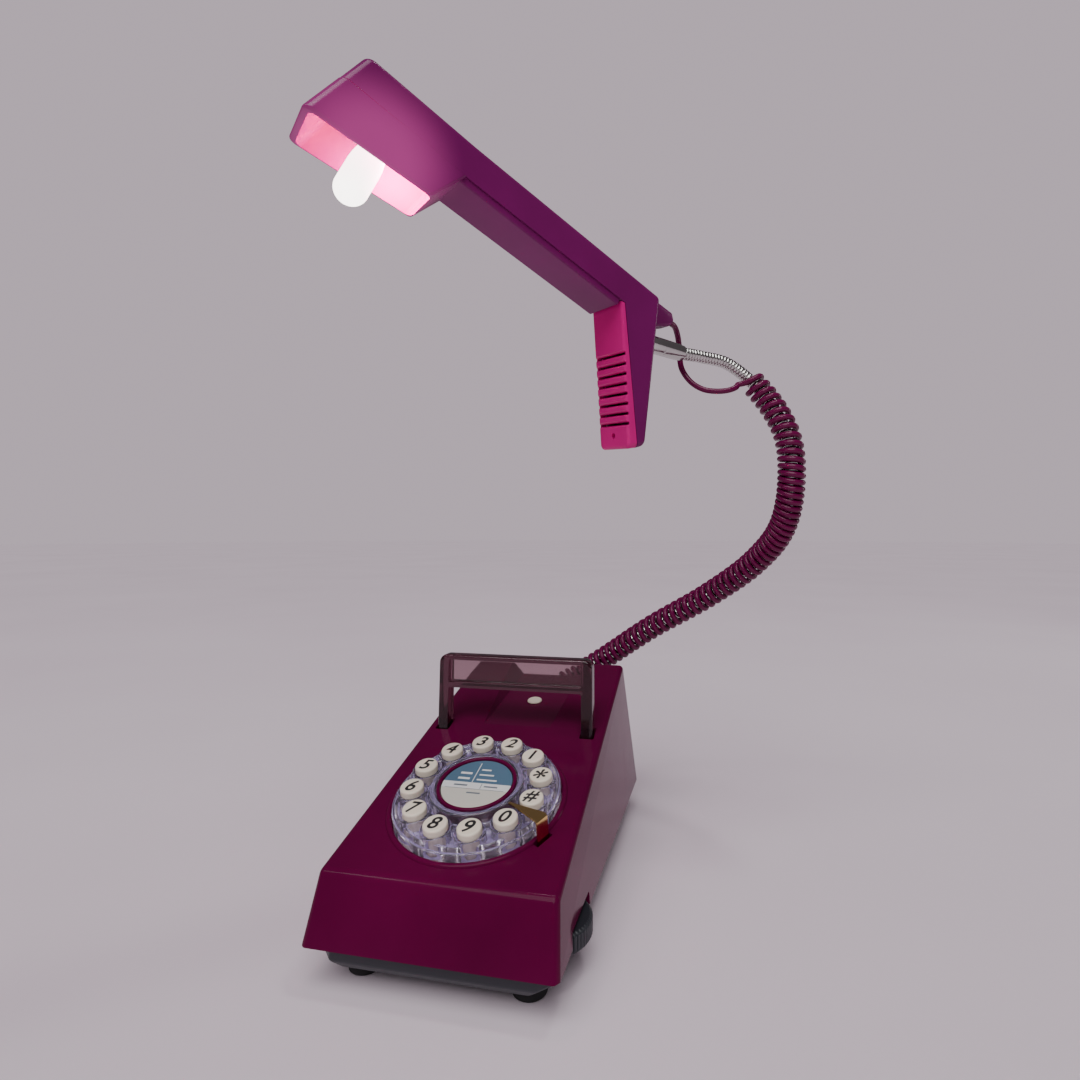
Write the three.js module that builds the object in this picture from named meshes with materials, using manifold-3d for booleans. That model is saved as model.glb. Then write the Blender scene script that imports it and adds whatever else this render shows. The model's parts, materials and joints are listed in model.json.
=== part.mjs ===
// A push-button telephone with a wedge-shaped base, turned into a desk lamp: the handset is held in the
// air by a flexible neck behind the base, and a bulb sits in its hollow earpiece.
// Millimetres, +Z up, the front of the base faces -Y.
import * as THREE from 'three';
import { ConvexGeometry } from 'three/addons/geometries/ConvexGeometry.js';
import { mergeVertices } from 'three/addons/utils/BufferGeometryUtils.js';
import Module from 'manifold-3d';

const wasm = await Module();
wasm.setup();

// ---- driving dimensions ----
const GAP = 0.35;                 // running gap between neighbouring pieces
const DEG = Math.PI / 180;

// base cover, seen from the side: front edge at y = 0, deck rising to the rear
const DECK_SLOPE = 16.6 * DEG;
const DECK_LENGTH = 178;
const FRONT_TOP_Z = 42;
const COVER_BOTTOM_Z = 17;
const FRONT_BOTTOM_Y = -7.5;
const REAR_BOTTOM_Y = 194;
const FRONT_TOP_HALF = 50;
const FRONT_BOTTOM_HALF = 52;
const REAR_TOP_HALF = 47.5;
const REAR_BOTTOM_HALF = 52.5;
const COVER_ROUND = 3.2;
const WALL = 2.6;

const REAR_TOP_Y = DECK_LENGTH * Math.cos(DECK_SLOPE);
const REAR_TOP_Z = FRONT_TOP_Z + DECK_LENGTH * Math.sin(DECK_SLOPE);

// rest channel for the handset, cut into the rear of the deck
const CHANNEL_START = 105.5;      // along the deck
const CHANNEL_FLOOR_SLOPE = 9 * DEG;
const CHANNEL_HALF = 18.5;
const CHANNEL_FLARE = 7.5;        // how much wider each side is at the rear crest

// dial
const DIAL_CENTRE = 48.2;         // along the deck
const RIDGE_R = 39.8;
const BEZEL_R = 38;
const BEZEL_INNER_R = 21.6;
const BEZEL_TOP = 4.6;
const HUB_R = 18.6;
const HUB_TOP = 8;
const LABEL_R = 16.5;
const BUTTON_CIRCLE_R = 29.2;
const BUTTON_R = 5.3;
const BUTTON_TOP = 9.3;
const CAP_BOTTOM = 6.1;            // below its cap a key is narrower
const COLLAR_TOP = 6.8;            // clear collar round each key
const BUTTON_COUNT = 12;
const BUTTON_START = 15 * DEG;    // key 2 stands this far clockwise from the top
const KEYS = [...Array(BUTTON_COUNT).keys()];
const BUTTON_MARKS = ['2', '1', 'star', 'hash', '0', '9', '8', '7', '6', '5', '4', '3'];
const WELL_DEPTH = 3.4;

// cradle
const CRADLE_T = 98.8;
const CRADLE_HALF = 43;
const CRADLE_POST = 5.8;
const CRADLE_DEPTH = 8;
const CRADLE_TOP_Z = 109;
const CRADLE_TRAVEL = 4;

// base plate and feet
const FOOT_R = 7;
const FOOT_H = 6.5;
const PLATE_TOP_Z = 16.6;

// volume wheel
const WHEEL_R = 20;
const WHEEL_X = 36.3;
const WHEEL_Y = 30;
const WHEEL_BOTTOM_Z = 12.6;
const WHEEL_TOP_Z = 20.4;

// flexible neck
const HOSE_R = 3.6;
const COIL_R = 7.7;
const COIL_BORE = 4.3;
const CORD_R = 1.65;

// handset, in its own axes: x towards the earpiece, y towards the camera-side wall, z out of its back
const ARM_LENGTH = 172.5;
const ARM_HALF = 13.5;
const ARM_DEPTH = 16;
const HEAD_HALF = 16.4;

// ---- colours ----
const PLUM = { color: 0x5a0c34, roughness: 0.22, metalness: 0 };
const PLUM_HANDSET = { color: 0x5f1650, roughness: 0.22, metalness: 0 };
const BLACK = { color: 0x1d1f24, roughness: 0.55, metalness: 0 };
const RUBBER = { color: 0x141414, roughness: 0.9, metalness: 0 };
const CREAM = { color: 0xded3c2, roughness: 0.35, metalness: 0 };
const CLEAR = { color: 0xb9a8c4, roughness: 0.08, metalness: 0, transparent: true, opacity: 0.45 };
const SMOKE = { color: 0x3a2148, roughness: 0.08, metalness: 0, transparent: true, opacity: 0.6 };
const LILAC = { color: 0x9a8fb0, roughness: 0.5, metalness: 0 };
const LABEL = { color: 0xd8d4cc, roughness: 0.45, metalness: 0 };
const GOLD = { color: 0xb59350, roughness: 0.25, metalness: 1 };
const CHROME = { color: 0xc9cacc, roughness: 0.12, metalness: 1 };
const STEEL = { color: 0x8b8d90, roughness: 0.4, metalness: 1 };
const BOARD = { color: 0x1f5c3a, roughness: 0.5, metalness: 0 };
const CORD = { color: 0x6b1e41, roughness: 0.35, metalness: 0 };
const FROSTED = { color: 0xfff6ee, roughness: 0.3, metalness: 0, emissive: 0xfff0e6 };
const CERAMIC = { color: 0xe8e3da, roughness: 0.4, metalness: 0 };

// ---- helpers ----
const vec = (x, y, z) => new THREE.Vector3(x, y, z);

function toSolid(geometry) {
  const bare = geometry.clone();
  bare.deleteAttribute('normal');
  bare.deleteAttribute('uv');
  const merged = mergeVertices(bare, 1e-4);
  return new wasm.Manifold(new wasm.Mesh({
    numProp: 3,
    vertProperties: new Float32Array(merged.attributes.position.array),
    triVerts: new Uint32Array(merged.index.array),
  }));
}

function toGeometry(solid) {
  const mesh = solid.getMesh();
  const geometry = new THREE.BufferGeometry();
  geometry.setAttribute('position', new THREE.BufferAttribute(new Float32Array(mesh.vertProperties), 3));
  geometry.setIndex(new THREE.BufferAttribute(new Uint32Array(mesh.triVerts), 1));
  geometry.computeVertexNormals();
  return geometry;
}

function cut(base, ...tools) {
  return tools.reduce((solid, tool) => solid.subtract(toSolid(tool)), toSolid(base));
}

function join(base, ...others) {
  return others.reduce((solid, other) => solid.add(toSolid(other)), toSolid(base));
}

function mesh(name, shape, look) {
  const geometry = shape.getMesh ? toGeometry(shape) : shape;
  const piece = new THREE.Mesh(geometry, new THREE.MeshStandardMaterial(look));
  piece.name = name;
  return piece;
}

function block(x0, x1, y0, y1, z0, z1) {
  const box = new THREE.BoxGeometry(x1 - x0, y1 - y0, z1 - z0);
  box.translate((x0 + x1) / 2, (y0 + y1) / 2, (z0 + z1) / 2);
  return box;
}

// a convex body whose corners are balls of radius r round the given points
function roundedHull(points, r, perQuarter = 2) {
  const cloud = [];
  const step = Math.PI / 2 / perQuarter;
  for (const p of points) {
    for (let i = -perQuarter; i <= perQuarter; i += 1) {
      const ring = Math.abs(i) === perQuarter ? 1 : perQuarter * 4;
      for (let j = 0; j < ring; j += 1) {
        const up = i * step;
        const round = j * step;
        cloud.push(vec(p.x + r * Math.cos(up) * Math.cos(round), p.y + r * Math.cos(up) * Math.sin(round),
          p.z + r * Math.sin(up)));
      }
    }
  }
  return new ConvexGeometry(cloud);
}

function plainHull(points) {
  return new ConvexGeometry(points);
}

function upright(r, z0, z1, x = 0, y = 0, sides = 32) {
  const drum = new THREE.CylinderGeometry(r, r, z1 - z0, sides);
  drum.rotateX(Math.PI / 2);
  drum.translate(x, y, (z0 + z1) / 2);
  return drum;
}

// a body of revolution about Z from [radius, height] pairs that go round its section
function turned(section, sides = 48) {
  const lathe = new THREE.LatheGeometry(section.map(([r, z]) => new THREE.Vector2(r, z)), sides);
  lathe.rotateX(Math.PI / 2);
  return lathe;
}

function ring(inner, outer, z0, z1, sides = 48, soften = 0.5) {
  return turned([
    [inner, z0], [outer, z0], [outer, z1 - soften], [outer - soften, z1],
    [inner + soften, z1], [inner, z1 - soften], [inner, z0],
  ], sides);
}

// ---- frames of the deck and of the rear wall ----
const DECK = new THREE.Matrix4().makeRotationX(DECK_SLOPE).setPosition(0, 0, FRONT_TOP_Z);
const deckPoint = (x, t, h) => vec(x, t, h).applyMatrix4(DECK);
const REAR_LEAN = Math.atan2(REAR_BOTTOM_Y - REAR_TOP_Y, REAR_TOP_Z - COVER_BOTTOM_Z);
const rearY = (z) => REAR_TOP_Y + (REAR_TOP_Z - z) * Math.tan(REAR_LEAN);
const REAR = (x, z) => new THREE.Matrix4().makeRotationX(REAR_LEAN - Math.PI / 2).setPosition(x, rearY(z), z);

function onDeck(geometry) {
  return geometry.clone().applyMatrix4(DECK);
}

// ---- base cover ----
// corners of the wedge moved inwards by `inset`, its walls run down to the height `bottom`
function coverCorners(inset, bottom) {
  const topZ = inset / Math.cos(DECK_SLOPE);
  const reach = (FRONT_TOP_Z - bottom) / (FRONT_TOP_Z - COVER_BOTTOM_Z);
  const rearReach = (REAR_TOP_Z - bottom) / (REAR_TOP_Z - COVER_BOTTOM_Z);
  const blend = (a, b, k) => a + (b - a) * k;
  const rows = [
    [FRONT_TOP_HALF, inset, FRONT_TOP_Z - topZ + inset * Math.tan(DECK_SLOPE)],
    [blend(FRONT_TOP_HALF, FRONT_BOTTOM_HALF, reach), blend(0, FRONT_BOTTOM_Y, reach) + inset, bottom],
    [REAR_TOP_HALF, REAR_TOP_Y - inset, REAR_TOP_Z - topZ - inset * Math.tan(DECK_SLOPE)],
    [blend(REAR_TOP_HALF, REAR_BOTTOM_HALF, rearReach), blend(REAR_TOP_Y, REAR_BOTTOM_Y, rearReach) - inset,
      bottom],
  ];
  return rows.flatMap(([half, y, z]) => [vec(half - inset, y, z), vec(inset - half, y, z)]);
}

// the space above the channel's floor, between walls that lean outwards; grown by `skin` all round
function channelSpace(skin) {
  const run = DECK_LENGTH - CHANNEL_START;
  const drop = DECK_SLOPE - CHANNEL_FLOOR_SLOPE;
  const floor = (t) => -(t - CHANNEL_START) * Math.tan(drop) - skin;
  const startT = CHANNEL_START - skin / Math.tan(drop) * 0.5;
  const far = DECK_LENGTH + 40;
  const points = [];
  for (const side of [-1, 1]) {
    points.push(deckPoint(side * (CHANNEL_HALF + skin), startT, floor(startT)));
    points.push(deckPoint(side * (CHANNEL_HALF + skin), far, floor(far)));
    points.push(deckPoint(side * (CHANNEL_HALF + skin + 2), startT, 12));
    points.push(deckPoint(side * (CHANNEL_HALF + skin + CHANNEL_FLARE * (far - startT) / run + 6), far, 12));
  }
  return plainHull(points);
}

function wheelNotch() {
  return block(WHEEL_X, 70, WHEEL_Y - 16, WHEEL_Y + 16, COVER_BOTTOM_Z - 6, WHEEL_TOP_Z + 2.2);
}

function cradleSlots(spare) {
  const y0 = CRADLE_T * Math.cos(DECK_SLOPE);
  const slots = [];
  for (const side of [-1, 1]) {
    const inner = side * (CRADLE_HALF - CRADLE_POST - spare);
    const outer = side * (CRADLE_HALF + spare);
    slots.push(block(Math.min(inner, outer), Math.max(inner, outer), y0 - spare, y0 + CRADLE_DEPTH + spare,
      COVER_BOTTOM_Z + 20, CRADLE_TOP_Z + 5));
  }
  return slots;
}

// the bent strip's foot stands in this slot beside the dial
const STOP_ANGLE = -29.5 * DEG;
const STOP_FOOT_R = 41.6;

function placeStop(geometry) {
  geometry.rotateZ(STOP_ANGLE);
  geometry.translate(0, DIAL_CENTRE, 0);
  return geometry;
}

const SOCKET_Z = 68;
const SOCKET_R = 5;
const GROMMET_Z = 50;
const GROMMET_R = 3.2;
const GLAND_Z = 30;
const GLAND_X = -30;
const GLAND_R = 4.2;

function rearHole(x, z, r) {
  return upright(r, -20, 20, 0, 0, 16).applyMatrix4(REAR(x, z));
}

function baseCover() {
  const outside = toSolid(roundedHull(coverCorners(COVER_ROUND, COVER_BOTTOM_Z), COVER_ROUND, 2))
    .subtract(toSolid(block(-80, 80, -40, 240, -20, COVER_BOTTOM_Z)));
  const inside = toSolid(roundedHull(coverCorners(WALL + 1, COVER_BOTTOM_Z - 20), 1, 1))
    .subtract(toSolid(channelSpace(WALL)))
    .subtract(toSolid(onDeck(upright(RIDGE_R + 1, -WELL_DEPTH - WALL, 20, 0, DIAL_CENTRE, 20))));
  const ridge = turned([
    [RIDGE_R - 1.6, -1], [RIDGE_R + 1.1, -1], [RIDGE_R + 0.9, 0.5], [RIDGE_R - 0.2, 1.2],
    [RIDGE_R - 1.6, 0.3], [RIDGE_R - 1.6, -1],
  ], 32);
  ridge.translate(0, DIAL_CENTRE, 0);
  const well = upright(BEZEL_R + 0.6, -WELL_DEPTH, 20, 0, DIAL_CENTRE, 32);
  const keyHoles = KEYS.map((i) => {
    const [x, y] = keyPlace(i);
    return onDeck(upright(BUTTON_R - 1, -30, 1, x, DIAL_CENTRE + y, 8));
  });
  const stopSlot = placeStop(block(STOP_FOOT_R - 1.2, STOP_FOOT_R + 1.5, -4.4, 4.4, -30, 3));
  let cover = outside.subtract(inside).subtract(toSolid(channelSpace(0)));
  cover = cover.add(toSolid(onDeck(ridge)));
  for (const tool of [onDeck(well), ...keyHoles, onDeck(stopSlot), wheelNotch(), ...cradleSlots(0.9),
    rearHole(0, SOCKET_Z, SOCKET_R + GAP), rearHole(0, GROMMET_Z, GROMMET_R + GAP),
    rearHole(GLAND_X, GLAND_Z, GLAND_R + GAP), plugHole()]) {
    cover = cover.subtract(toSolid(tool));
  }
  return cover;
}

// small round plug in the channel's floor
const PLUG_T = 137;
const PLUG_R = 4.2;
const PLUG_SEAT = new THREE.Matrix4().makeRotationX(CHANNEL_FLOOR_SLOPE).setPosition(
  deckPoint(1, PLUG_T, -(PLUG_T - CHANNEL_START) * Math.tan(DECK_SLOPE - CHANNEL_FLOOR_SLOPE)));

function plugHole() {
  return upright(2.4, -10, 10, 0, 0, 8).applyMatrix4(PLUG_SEAT);
}

function channelPlug() {
  const cap = turned([[0, -5], [1.9, -5], [2.05, -4.6], [2.05, GAP], [PLUG_R, GAP], [PLUG_R, 0.7],
    [PLUG_R - 0.5, 1.1], [0, 1.25]], 16);
  return cap.applyMatrix4(PLUG_SEAT);
}

// ---- base plate, feet, weight ----
const PLATE_INSET = 5;
const FOOT_X = 35;
const FOOT_FRONT_Y = 14;
const FOOT_REAR_Y = 172;
const FEET = {
  foot_front_left: [-FOOT_X, FOOT_FRONT_Y],
  foot_front_right: [FOOT_X, FOOT_FRONT_Y],
  foot_rear_left: [-FOOT_X, FOOT_REAR_Y],
  foot_rear_right: [FOOT_X, FOOT_REAR_Y],
};

function basePlate() {
  const half = FRONT_BOTTOM_HALF - PLATE_INSET;
  const y0 = FRONT_BOTTOM_Y + PLATE_INSET;
  const y1 = REAR_BOTTOM_Y - PLATE_INSET;
  const bevel = 4;
  const points = [];
  for (const [z, inset] of [[FOOT_H, bevel], [FOOT_H + bevel, 0], [PLATE_TOP_Z, 0]]) {
    for (const sx of [-1, 1]) {
      points.push(vec(sx * (half - inset - 5), y0 + inset, z), vec(sx * (half - inset), y0 + inset + 5, z));
      points.push(vec(sx * (half - inset - 5), y1 - inset, z), vec(sx * (half - inset), y1 - inset - 5, z));
    }
  }
  const inner = block(-half + 3, half - 3, y0 + 3, y1 - 3, FOOT_H + 3, PLATE_TOP_Z + 5);
  const wheelRoom = upright(WHEEL_R + 1, WHEEL_BOTTOM_Z - 0.8, PLATE_TOP_Z + 5, WHEEL_X, WHEEL_Y, 32);
  const screwHoles = SCREWS.map(([x, y]) => upright(1.9, 0, 20, x, y, 8));
  return cut(plainHull(points), inner, wheelRoom, ...screwHoles);
}

const SCREWS = [[-28, 40], [28, 160]];

function plateScrew() {
  return turned([[0, -2.1], [3, -2.1], [3.2, -1.7], [2.6, -GAP], [1.5, -GAP], [1.5, 9], [0, 10]], 10);
}

function foot() {
  return turned([[0, 0], [FOOT_R - 1.2, 0], [FOOT_R - 0.3, 0.5], [FOOT_R, 1.6], [FOOT_R, FOOT_H - GAP],
    [0, FOOT_H - GAP]], 16);
}

function ballast() {
  const z0 = FOOT_H + 3 + GAP;
  const slab = block(-40, 40, 74, 150, z0, z0 + 9);
  return slab;
}

// ---- dial ----
function keyAngle(index) {
  return BUTTON_START + index * 30 * DEG;
}

function keyPlace(index) {
  const a = keyAngle(index);
  return [BUTTON_CIRCLE_R * Math.sin(a), BUTTON_CIRCLE_R * Math.cos(a)];
}

function dialPlateSolid() {
  const disc = upright(BEZEL_R - 0.6, -WELL_DEPTH + GAP, -WELL_DEPTH + 1.4, 0, 0, 32);
  const holes = KEYS.map((i) => {
    const [x, y] = keyPlace(i);
    return upright(BUTTON_R - 1, -10, 10, x, y, 8);
  });
  return cut(disc, ...holes);
}

const BEZEL_FLOOR = -WELL_DEPTH + 1.4 + GAP;

function dialBezel() {
  const rim = turned([
    [BEZEL_INNER_R, BEZEL_FLOOR], [BEZEL_R, BEZEL_FLOOR], [BEZEL_R, 2.8], [BEZEL_R - 0.9, 3.8],
    [BEZEL_R - 2.2, 2.8], [BEZEL_R - 3.3, BEZEL_TOP], [BEZEL_R - 4.6, 2.6], [BEZEL_INNER_R + 2.2, 2.6],
    [BEZEL_INNER_R + 1.4, BEZEL_TOP - 0.2], [BEZEL_INNER_R, BEZEL_TOP - 0.2],
    [BEZEL_INNER_R, BEZEL_FLOOR],
  ], 32);
  const collars = KEYS.map((i) => upright(BUTTON_R + 1.5, 0, COLLAR_TOP, ...keyPlace(i), 12));
  const bores = KEYS.map((i) => toSolid(upright(BUTTON_R + 0.7, -10, 20, ...keyPlace(i), 12)));
  return bores.reduce((solid, bore) => solid.subtract(bore), join(rim, ...collars));
}

function hubRing() {
  return ring(HUB_R, BEZEL_INNER_R - GAP, BEZEL_FLOOR, HUB_TOP, 32, 0.7);
}

function labelRing() {
  return ring(LABEL_R, HUB_R - GAP, BEZEL_FLOOR, HUB_TOP + 0.4, 32, 0.5);
}

function labelCard() {
  const r = LABEL_R - GAP;
  return turned([[0, BEZEL_FLOOR], [r, BEZEL_FLOOR], [r, HUB_TOP - 0.6], [0, HUB_TOP - 0.3]], 32);
}

const BUTTON_TRAVEL = 1.5;
const BUTTON_FOOT = -WELL_DEPTH - 4.2;

function button() {
  return turned([
    [0, BUTTON_FOOT], [BUTTON_R - 1.7, BUTTON_FOOT], [BUTTON_R - 1.7, CAP_BOTTOM], [BUTTON_R, CAP_BOTTOM],
    [BUTTON_R, BUTTON_TOP - 0.9], [BUTTON_R - 0.9, BUTTON_TOP], [0, BUTTON_TOP - 0.3],
  ], 12);
}

const MAT_TOP = BUTTON_FOOT - BUTTON_TRAVEL - GAP;

function keypadMat() {
  return ring(BEZEL_INNER_R - 1, BEZEL_R - 1.4, MAT_TOP - 1.6, MAT_TOP, 20, 0.3);
}

function fingerStop() {
  const outline = new THREE.Shape();
  outline.moveTo(STOP_FOOT_R + 0.5, -15);
  outline.lineTo(STOP_FOOT_R + 0.5, 9.2);
  outline.lineTo(STOP_FOOT_R - 0.4, 10.4);
  outline.lineTo(BEZEL_INNER_R, 8);
  outline.lineTo(BEZEL_INNER_R, 7.2);
  outline.lineTo(STOP_FOOT_R - 0.5, 9.4);
  outline.lineTo(STOP_FOOT_R - 0.4, -15);
  outline.closePath();
  const strip = new THREE.ExtrudeGeometry(outline, { depth: 7, bevelEnabled: false });
  strip.rotateX(Math.PI / 2);
  strip.translate(0, 3.5, 0);
  const taper = plainHull([
    vec(20, -0.2, -20), vec(20, 0.2, -20), vec(20, -0.2, 20), vec(20, 0.2, 20),
    vec(STOP_FOOT_R + 1, -3.2, -20), vec(STOP_FOOT_R + 1, 3.2, -20),
    vec(STOP_FOOT_R + 1, -3.2, 20), vec(STOP_FOOT_R + 1, 3.2, 20),
  ]);
  return toSolid(strip).intersect(toSolid(taper));
}

// ---- cradle ----
function cradleFrame() {
  const y0 = CRADLE_T * Math.cos(DECK_SLOPE);
  const foot = 52;
  const r = 4.5;
  const half = CRADLE_HALF;
  const bar = 2.6;
  const outline = new THREE.Shape();
  outline.moveTo(-half, foot);
  outline.lineTo(half, foot);
  outline.lineTo(half, CRADLE_TOP_Z - r);
  outline.absarc(half - r, CRADLE_TOP_Z - r, r, 0, Math.PI / 2, false);
  outline.lineTo(-half + r, CRADLE_TOP_Z);
  outline.absarc(-half + r, CRADLE_TOP_Z - r, r, Math.PI / 2, Math.PI, false);
  outline.closePath();
  const shape = { depth: CRADLE_DEPTH, bevelEnabled: false, curveSegments: 6 };
  const frame = new THREE.ExtrudeGeometry(outline, shape);
  frame.rotateX(Math.PI / 2);
  frame.translate(0, y0 + CRADLE_DEPTH, 0);
  const inner = half - CRADLE_POST;
  const crossTop = 94.4;
  const paneY = y0 + CRADLE_DEPTH / 2;
  const window = block(-inner, inner, y0 - 5, y0 + 15, foot - 5, crossTop - bar);
  const frontPocket = block(-inner, inner, y0 - 5, paneY - 0.9, crossTop, CRADLE_TOP_Z - bar);
  const rearPocket = block(-inner, inner, paneY + 0.9, y0 + 15, crossTop, CRADLE_TOP_Z - bar);
  return cut(frame, window, frontPocket, rearPocket);
}

const LEVER_TOP_Z = 52 - GAP;

function hookLever() {
  const y0 = CRADLE_T * Math.cos(DECK_SLOPE);
  const half = CRADLE_HALF - 0.5;
  return block(-half, half, y0 + 1, y0 + CRADLE_DEPTH - 1, LEVER_TOP_Z - 4, LEVER_TOP_Z);
}

const HOOK_BLOCK_TOP = LEVER_TOP_Z - 4 - CRADLE_TRAVEL - 6;

function hookBlock() {
  const y0 = CRADLE_T * Math.cos(DECK_SLOPE);
  return block(-14, 14, y0 - 3, y0 + 11, 22, HOOK_BLOCK_TOP);
}

function hookSpring() {
  const y0 = CRADLE_T * Math.cos(DECK_SLOPE) + CRADLE_DEPTH / 2;
  return upright(3, HOOK_BLOCK_TOP + GAP, LEVER_TOP_Z - 4 - GAP, 0, y0, 10);
}

// ---- volume control ----
function volumeWheel() {
  const teeth = 24;
  const outline = new THREE.Shape();
  for (let i = 0; i < teeth * 2; i += 1) {
    const a = i * Math.PI / teeth;
    const r = i % 2 ? WHEEL_R - 0.7 : WHEEL_R;
    if (i === 0) outline.moveTo(r, 0);
    else outline.lineTo(r * Math.cos(a), r * Math.sin(a));
  }
  outline.closePath();
  const rim = new THREE.ExtrudeGeometry(outline, {
    depth: WHEEL_TOP_Z - WHEEL_BOTTOM_Z - 1, bevelEnabled: false,
  });
  rim.translate(0, 0, WHEEL_BOTTOM_Z + 0.5);
  const face = turned([[0, WHEEL_BOTTOM_Z], [WHEEL_R - 1.4, WHEEL_BOTTOM_Z], [WHEEL_R - 1.4, WHEEL_TOP_Z],
    [0, WHEEL_TOP_Z]], 24);
  const wheel = toSolid(rim).add(toSolid(face)).subtract(toSolid(upright(3 + 2 * GAP, 0, 40, 0, 0, 12)));
  return wheel;
}

function volumePot() {
  return turned([[0, WHEEL_BOTTOM_Z + 0.5], [3, WHEEL_BOTTOM_Z + 0.5], [3, WHEEL_TOP_Z + 1.5],
    [9, WHEEL_TOP_Z + 1.5], [9, WHEEL_TOP_Z + 9], [0, WHEEL_TOP_Z + 9]], 12);
}

// ---- electronics in the base ----
function mainBoard() {
  return block(-40, 18, 12, 70, 24, 25.6);
}

function sounder() {
  return upright(14, 12, 22, 0, 50, 16);
}

// ---- fittings on the rear wall ----
function neckSocket() {
  const body = turned([[0, -8], [SOCKET_R, -8], [SOCKET_R, GAP], [9.5, GAP], [9.5, 2], [8.6, 3], [7.2, 3.4],
    [5.6, 9.5], [0, 9.5]], 16);
  return body;
}

function neckLocknut() {
  const nut = upright(8, -WALL - 6, -WALL - 1.6, 0, 0, 6);
  return cut(nut, upright(SOCKET_R + 2 * GAP, -20, 20, 0, 0, 12));
}

function cordGrommet() {
  return turned([[CORD_R + GAP, -WALL - 2.6], [GROMMET_R + 0.8, -WALL - 2.6], [GROMMET_R + 0.8, -WALL - 1.4],
    [GROMMET_R, -WALL - 1.4], [GROMMET_R, GAP], [GROMMET_R + 1.2, GAP], [GROMMET_R + 0.8, 1.8],
    [CORD_R + GAP, 2], [CORD_R + GAP, -WALL - 2.6]], 12);
}

function mainsGland() {
  const bore = 1.9;
  return turned([[bore, -WALL - 2.6], [GLAND_R + 1, -WALL - 2.6], [GLAND_R + 1, -WALL - 1.4],
    [GLAND_R, -WALL - 1.4], [GLAND_R, GAP], [GLAND_R + 1.8, GAP], [GLAND_R + 1.4, 3], [3.4, 6], [bore, 6],
    [bore, -WALL - 2.6]], 12);
}

// ---- flexible neck: a metal hose with the curly cord wound round it ----
const NECK_ROUTE = [
  [0, 188.2, 71], [0.8, 193, 72.8], [11, 200.5, 78.5], [31, 202, 91], [63, 190, 113], [102, 171, 137],
  [130, 150, 159], [144.5, 133, 179], [149.5, 123, 205], [148, 124.5, 230], [135, 130.5, 256],
  [117.3, 128.8, 272.6], [103, 121, 275.6], [92.3, 112.5, 276.2], [88.2, 108.2, 276.7],
].map(([x, y, z]) => vec(x, y, z));
const NECK = new THREE.CatmullRomCurve3(NECK_ROUTE, false, 'centripetal');
const NECK_LENGTH = NECK.getLength();
const PIVOTS = [17, 104, 190, 268];     // distances along the neck where it bends
const COIL_START = 4;
const COIL_END = 299;

class NeckStretch extends THREE.Curve {
  constructor(from, to) {
    super();
    this.from = from / NECK_LENGTH;
    this.to = to / NECK_LENGTH;
  }

  getPoint(s, target = vec(0, 0, 0)) {
    return NECK.getPointAt(Math.min(this.from + (this.to - this.from) * s, 1), target);
  }
}

function roundSection(r, bore = 0) {
  const section = new THREE.Shape();
  section.absarc(0, 0, r, 0, Math.PI * 2, false);
  if (bore) {
    const hole = new THREE.Path();
    hole.absarc(0, 0, bore, 0, Math.PI * 2, true);
    section.holes.push(hole);
  }
  return section;
}

function tubeAlong(curve, r, bore, steps, sides = 12) {
  const section = roundSection(r, bore);
  const shape = { steps, extrudePath: curve, curveSegments: sides / 2, bevelEnabled: false };
  return new THREE.ExtrudeGeometry(section, shape);
}

// A stretch of neck stops short of the bends at its ends, so that it can tilt without touching the next.
const COIL_BEND_GAP = 1.7;
const HOSE_BEND_GAP = 2;

function neckStretch(r, bore, from, to) {
  const steps = Math.max(4, Math.round((to - from) / 14));
  return tubeAlong(new NeckStretch(from, to), r, bore, steps, bore ? 10 : 8);
}

function hoseStretch(index) {
  const from = index === 0 ? 0 : PIVOTS[index - 1] + HOSE_BEND_GAP;
  const to = index === PIVOTS.length ? NECK_LENGTH - 0.5 : PIVOTS[index];
  return neckStretch(HOSE_R, 0, from, to);
}

function coilStretch(index) {
  const from = index === 0 ? COIL_START : PIVOTS[index - 1] + COIL_BEND_GAP;
  const to = index === PIVOTS.length ? COIL_END : PIVOTS[index] - COIL_BEND_GAP;
  return neckStretch(COIL_R, COIL_BORE, from, to);
}

// the cord's lead from its grommet up to the first turn round the neck
const LEAD_ROUTE = [
  [0, 180, 48.82], [0, 183.8, 50], [0, 187.6, 51.2], [0.2, 191.8, 53.2], [0.9, 195.4, 56.8],
  [1.7, 197.3, 61], [2.1, 197.5, 64.8],
].map(([x, y, z]) => vec(x, y, z));

function cordLead() {
  return tubeAlong(new THREE.CatmullRomCurve3(LEAD_ROUTE, false, 'centripetal'), CORD_R, 0, 12, 8);
}

// ---- handset ----
const HANDSET_AXES = new THREE.Matrix4().makeBasis(
  vec(-0.617, -0.676, 0.403), vec(0.718, -0.693, -0.064), vec(0.322, 0.25, 0.913));
const HANDSET_ORIGIN = vec(83.6 - 0.718 * ARM_HALF, 81.9 + 0.693 * ARM_HALF, 299.1 + 0.064 * ARM_HALF);

function handsetFrame() {
  const frame = new THREE.Group();
  const spin = new THREE.Quaternion().setFromRotationMatrix(HANDSET_AXES);
  frame.quaternion.copy(spin);
  frame.position.copy(HANDSET_ORIGIN);
  return frame;
}

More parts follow.
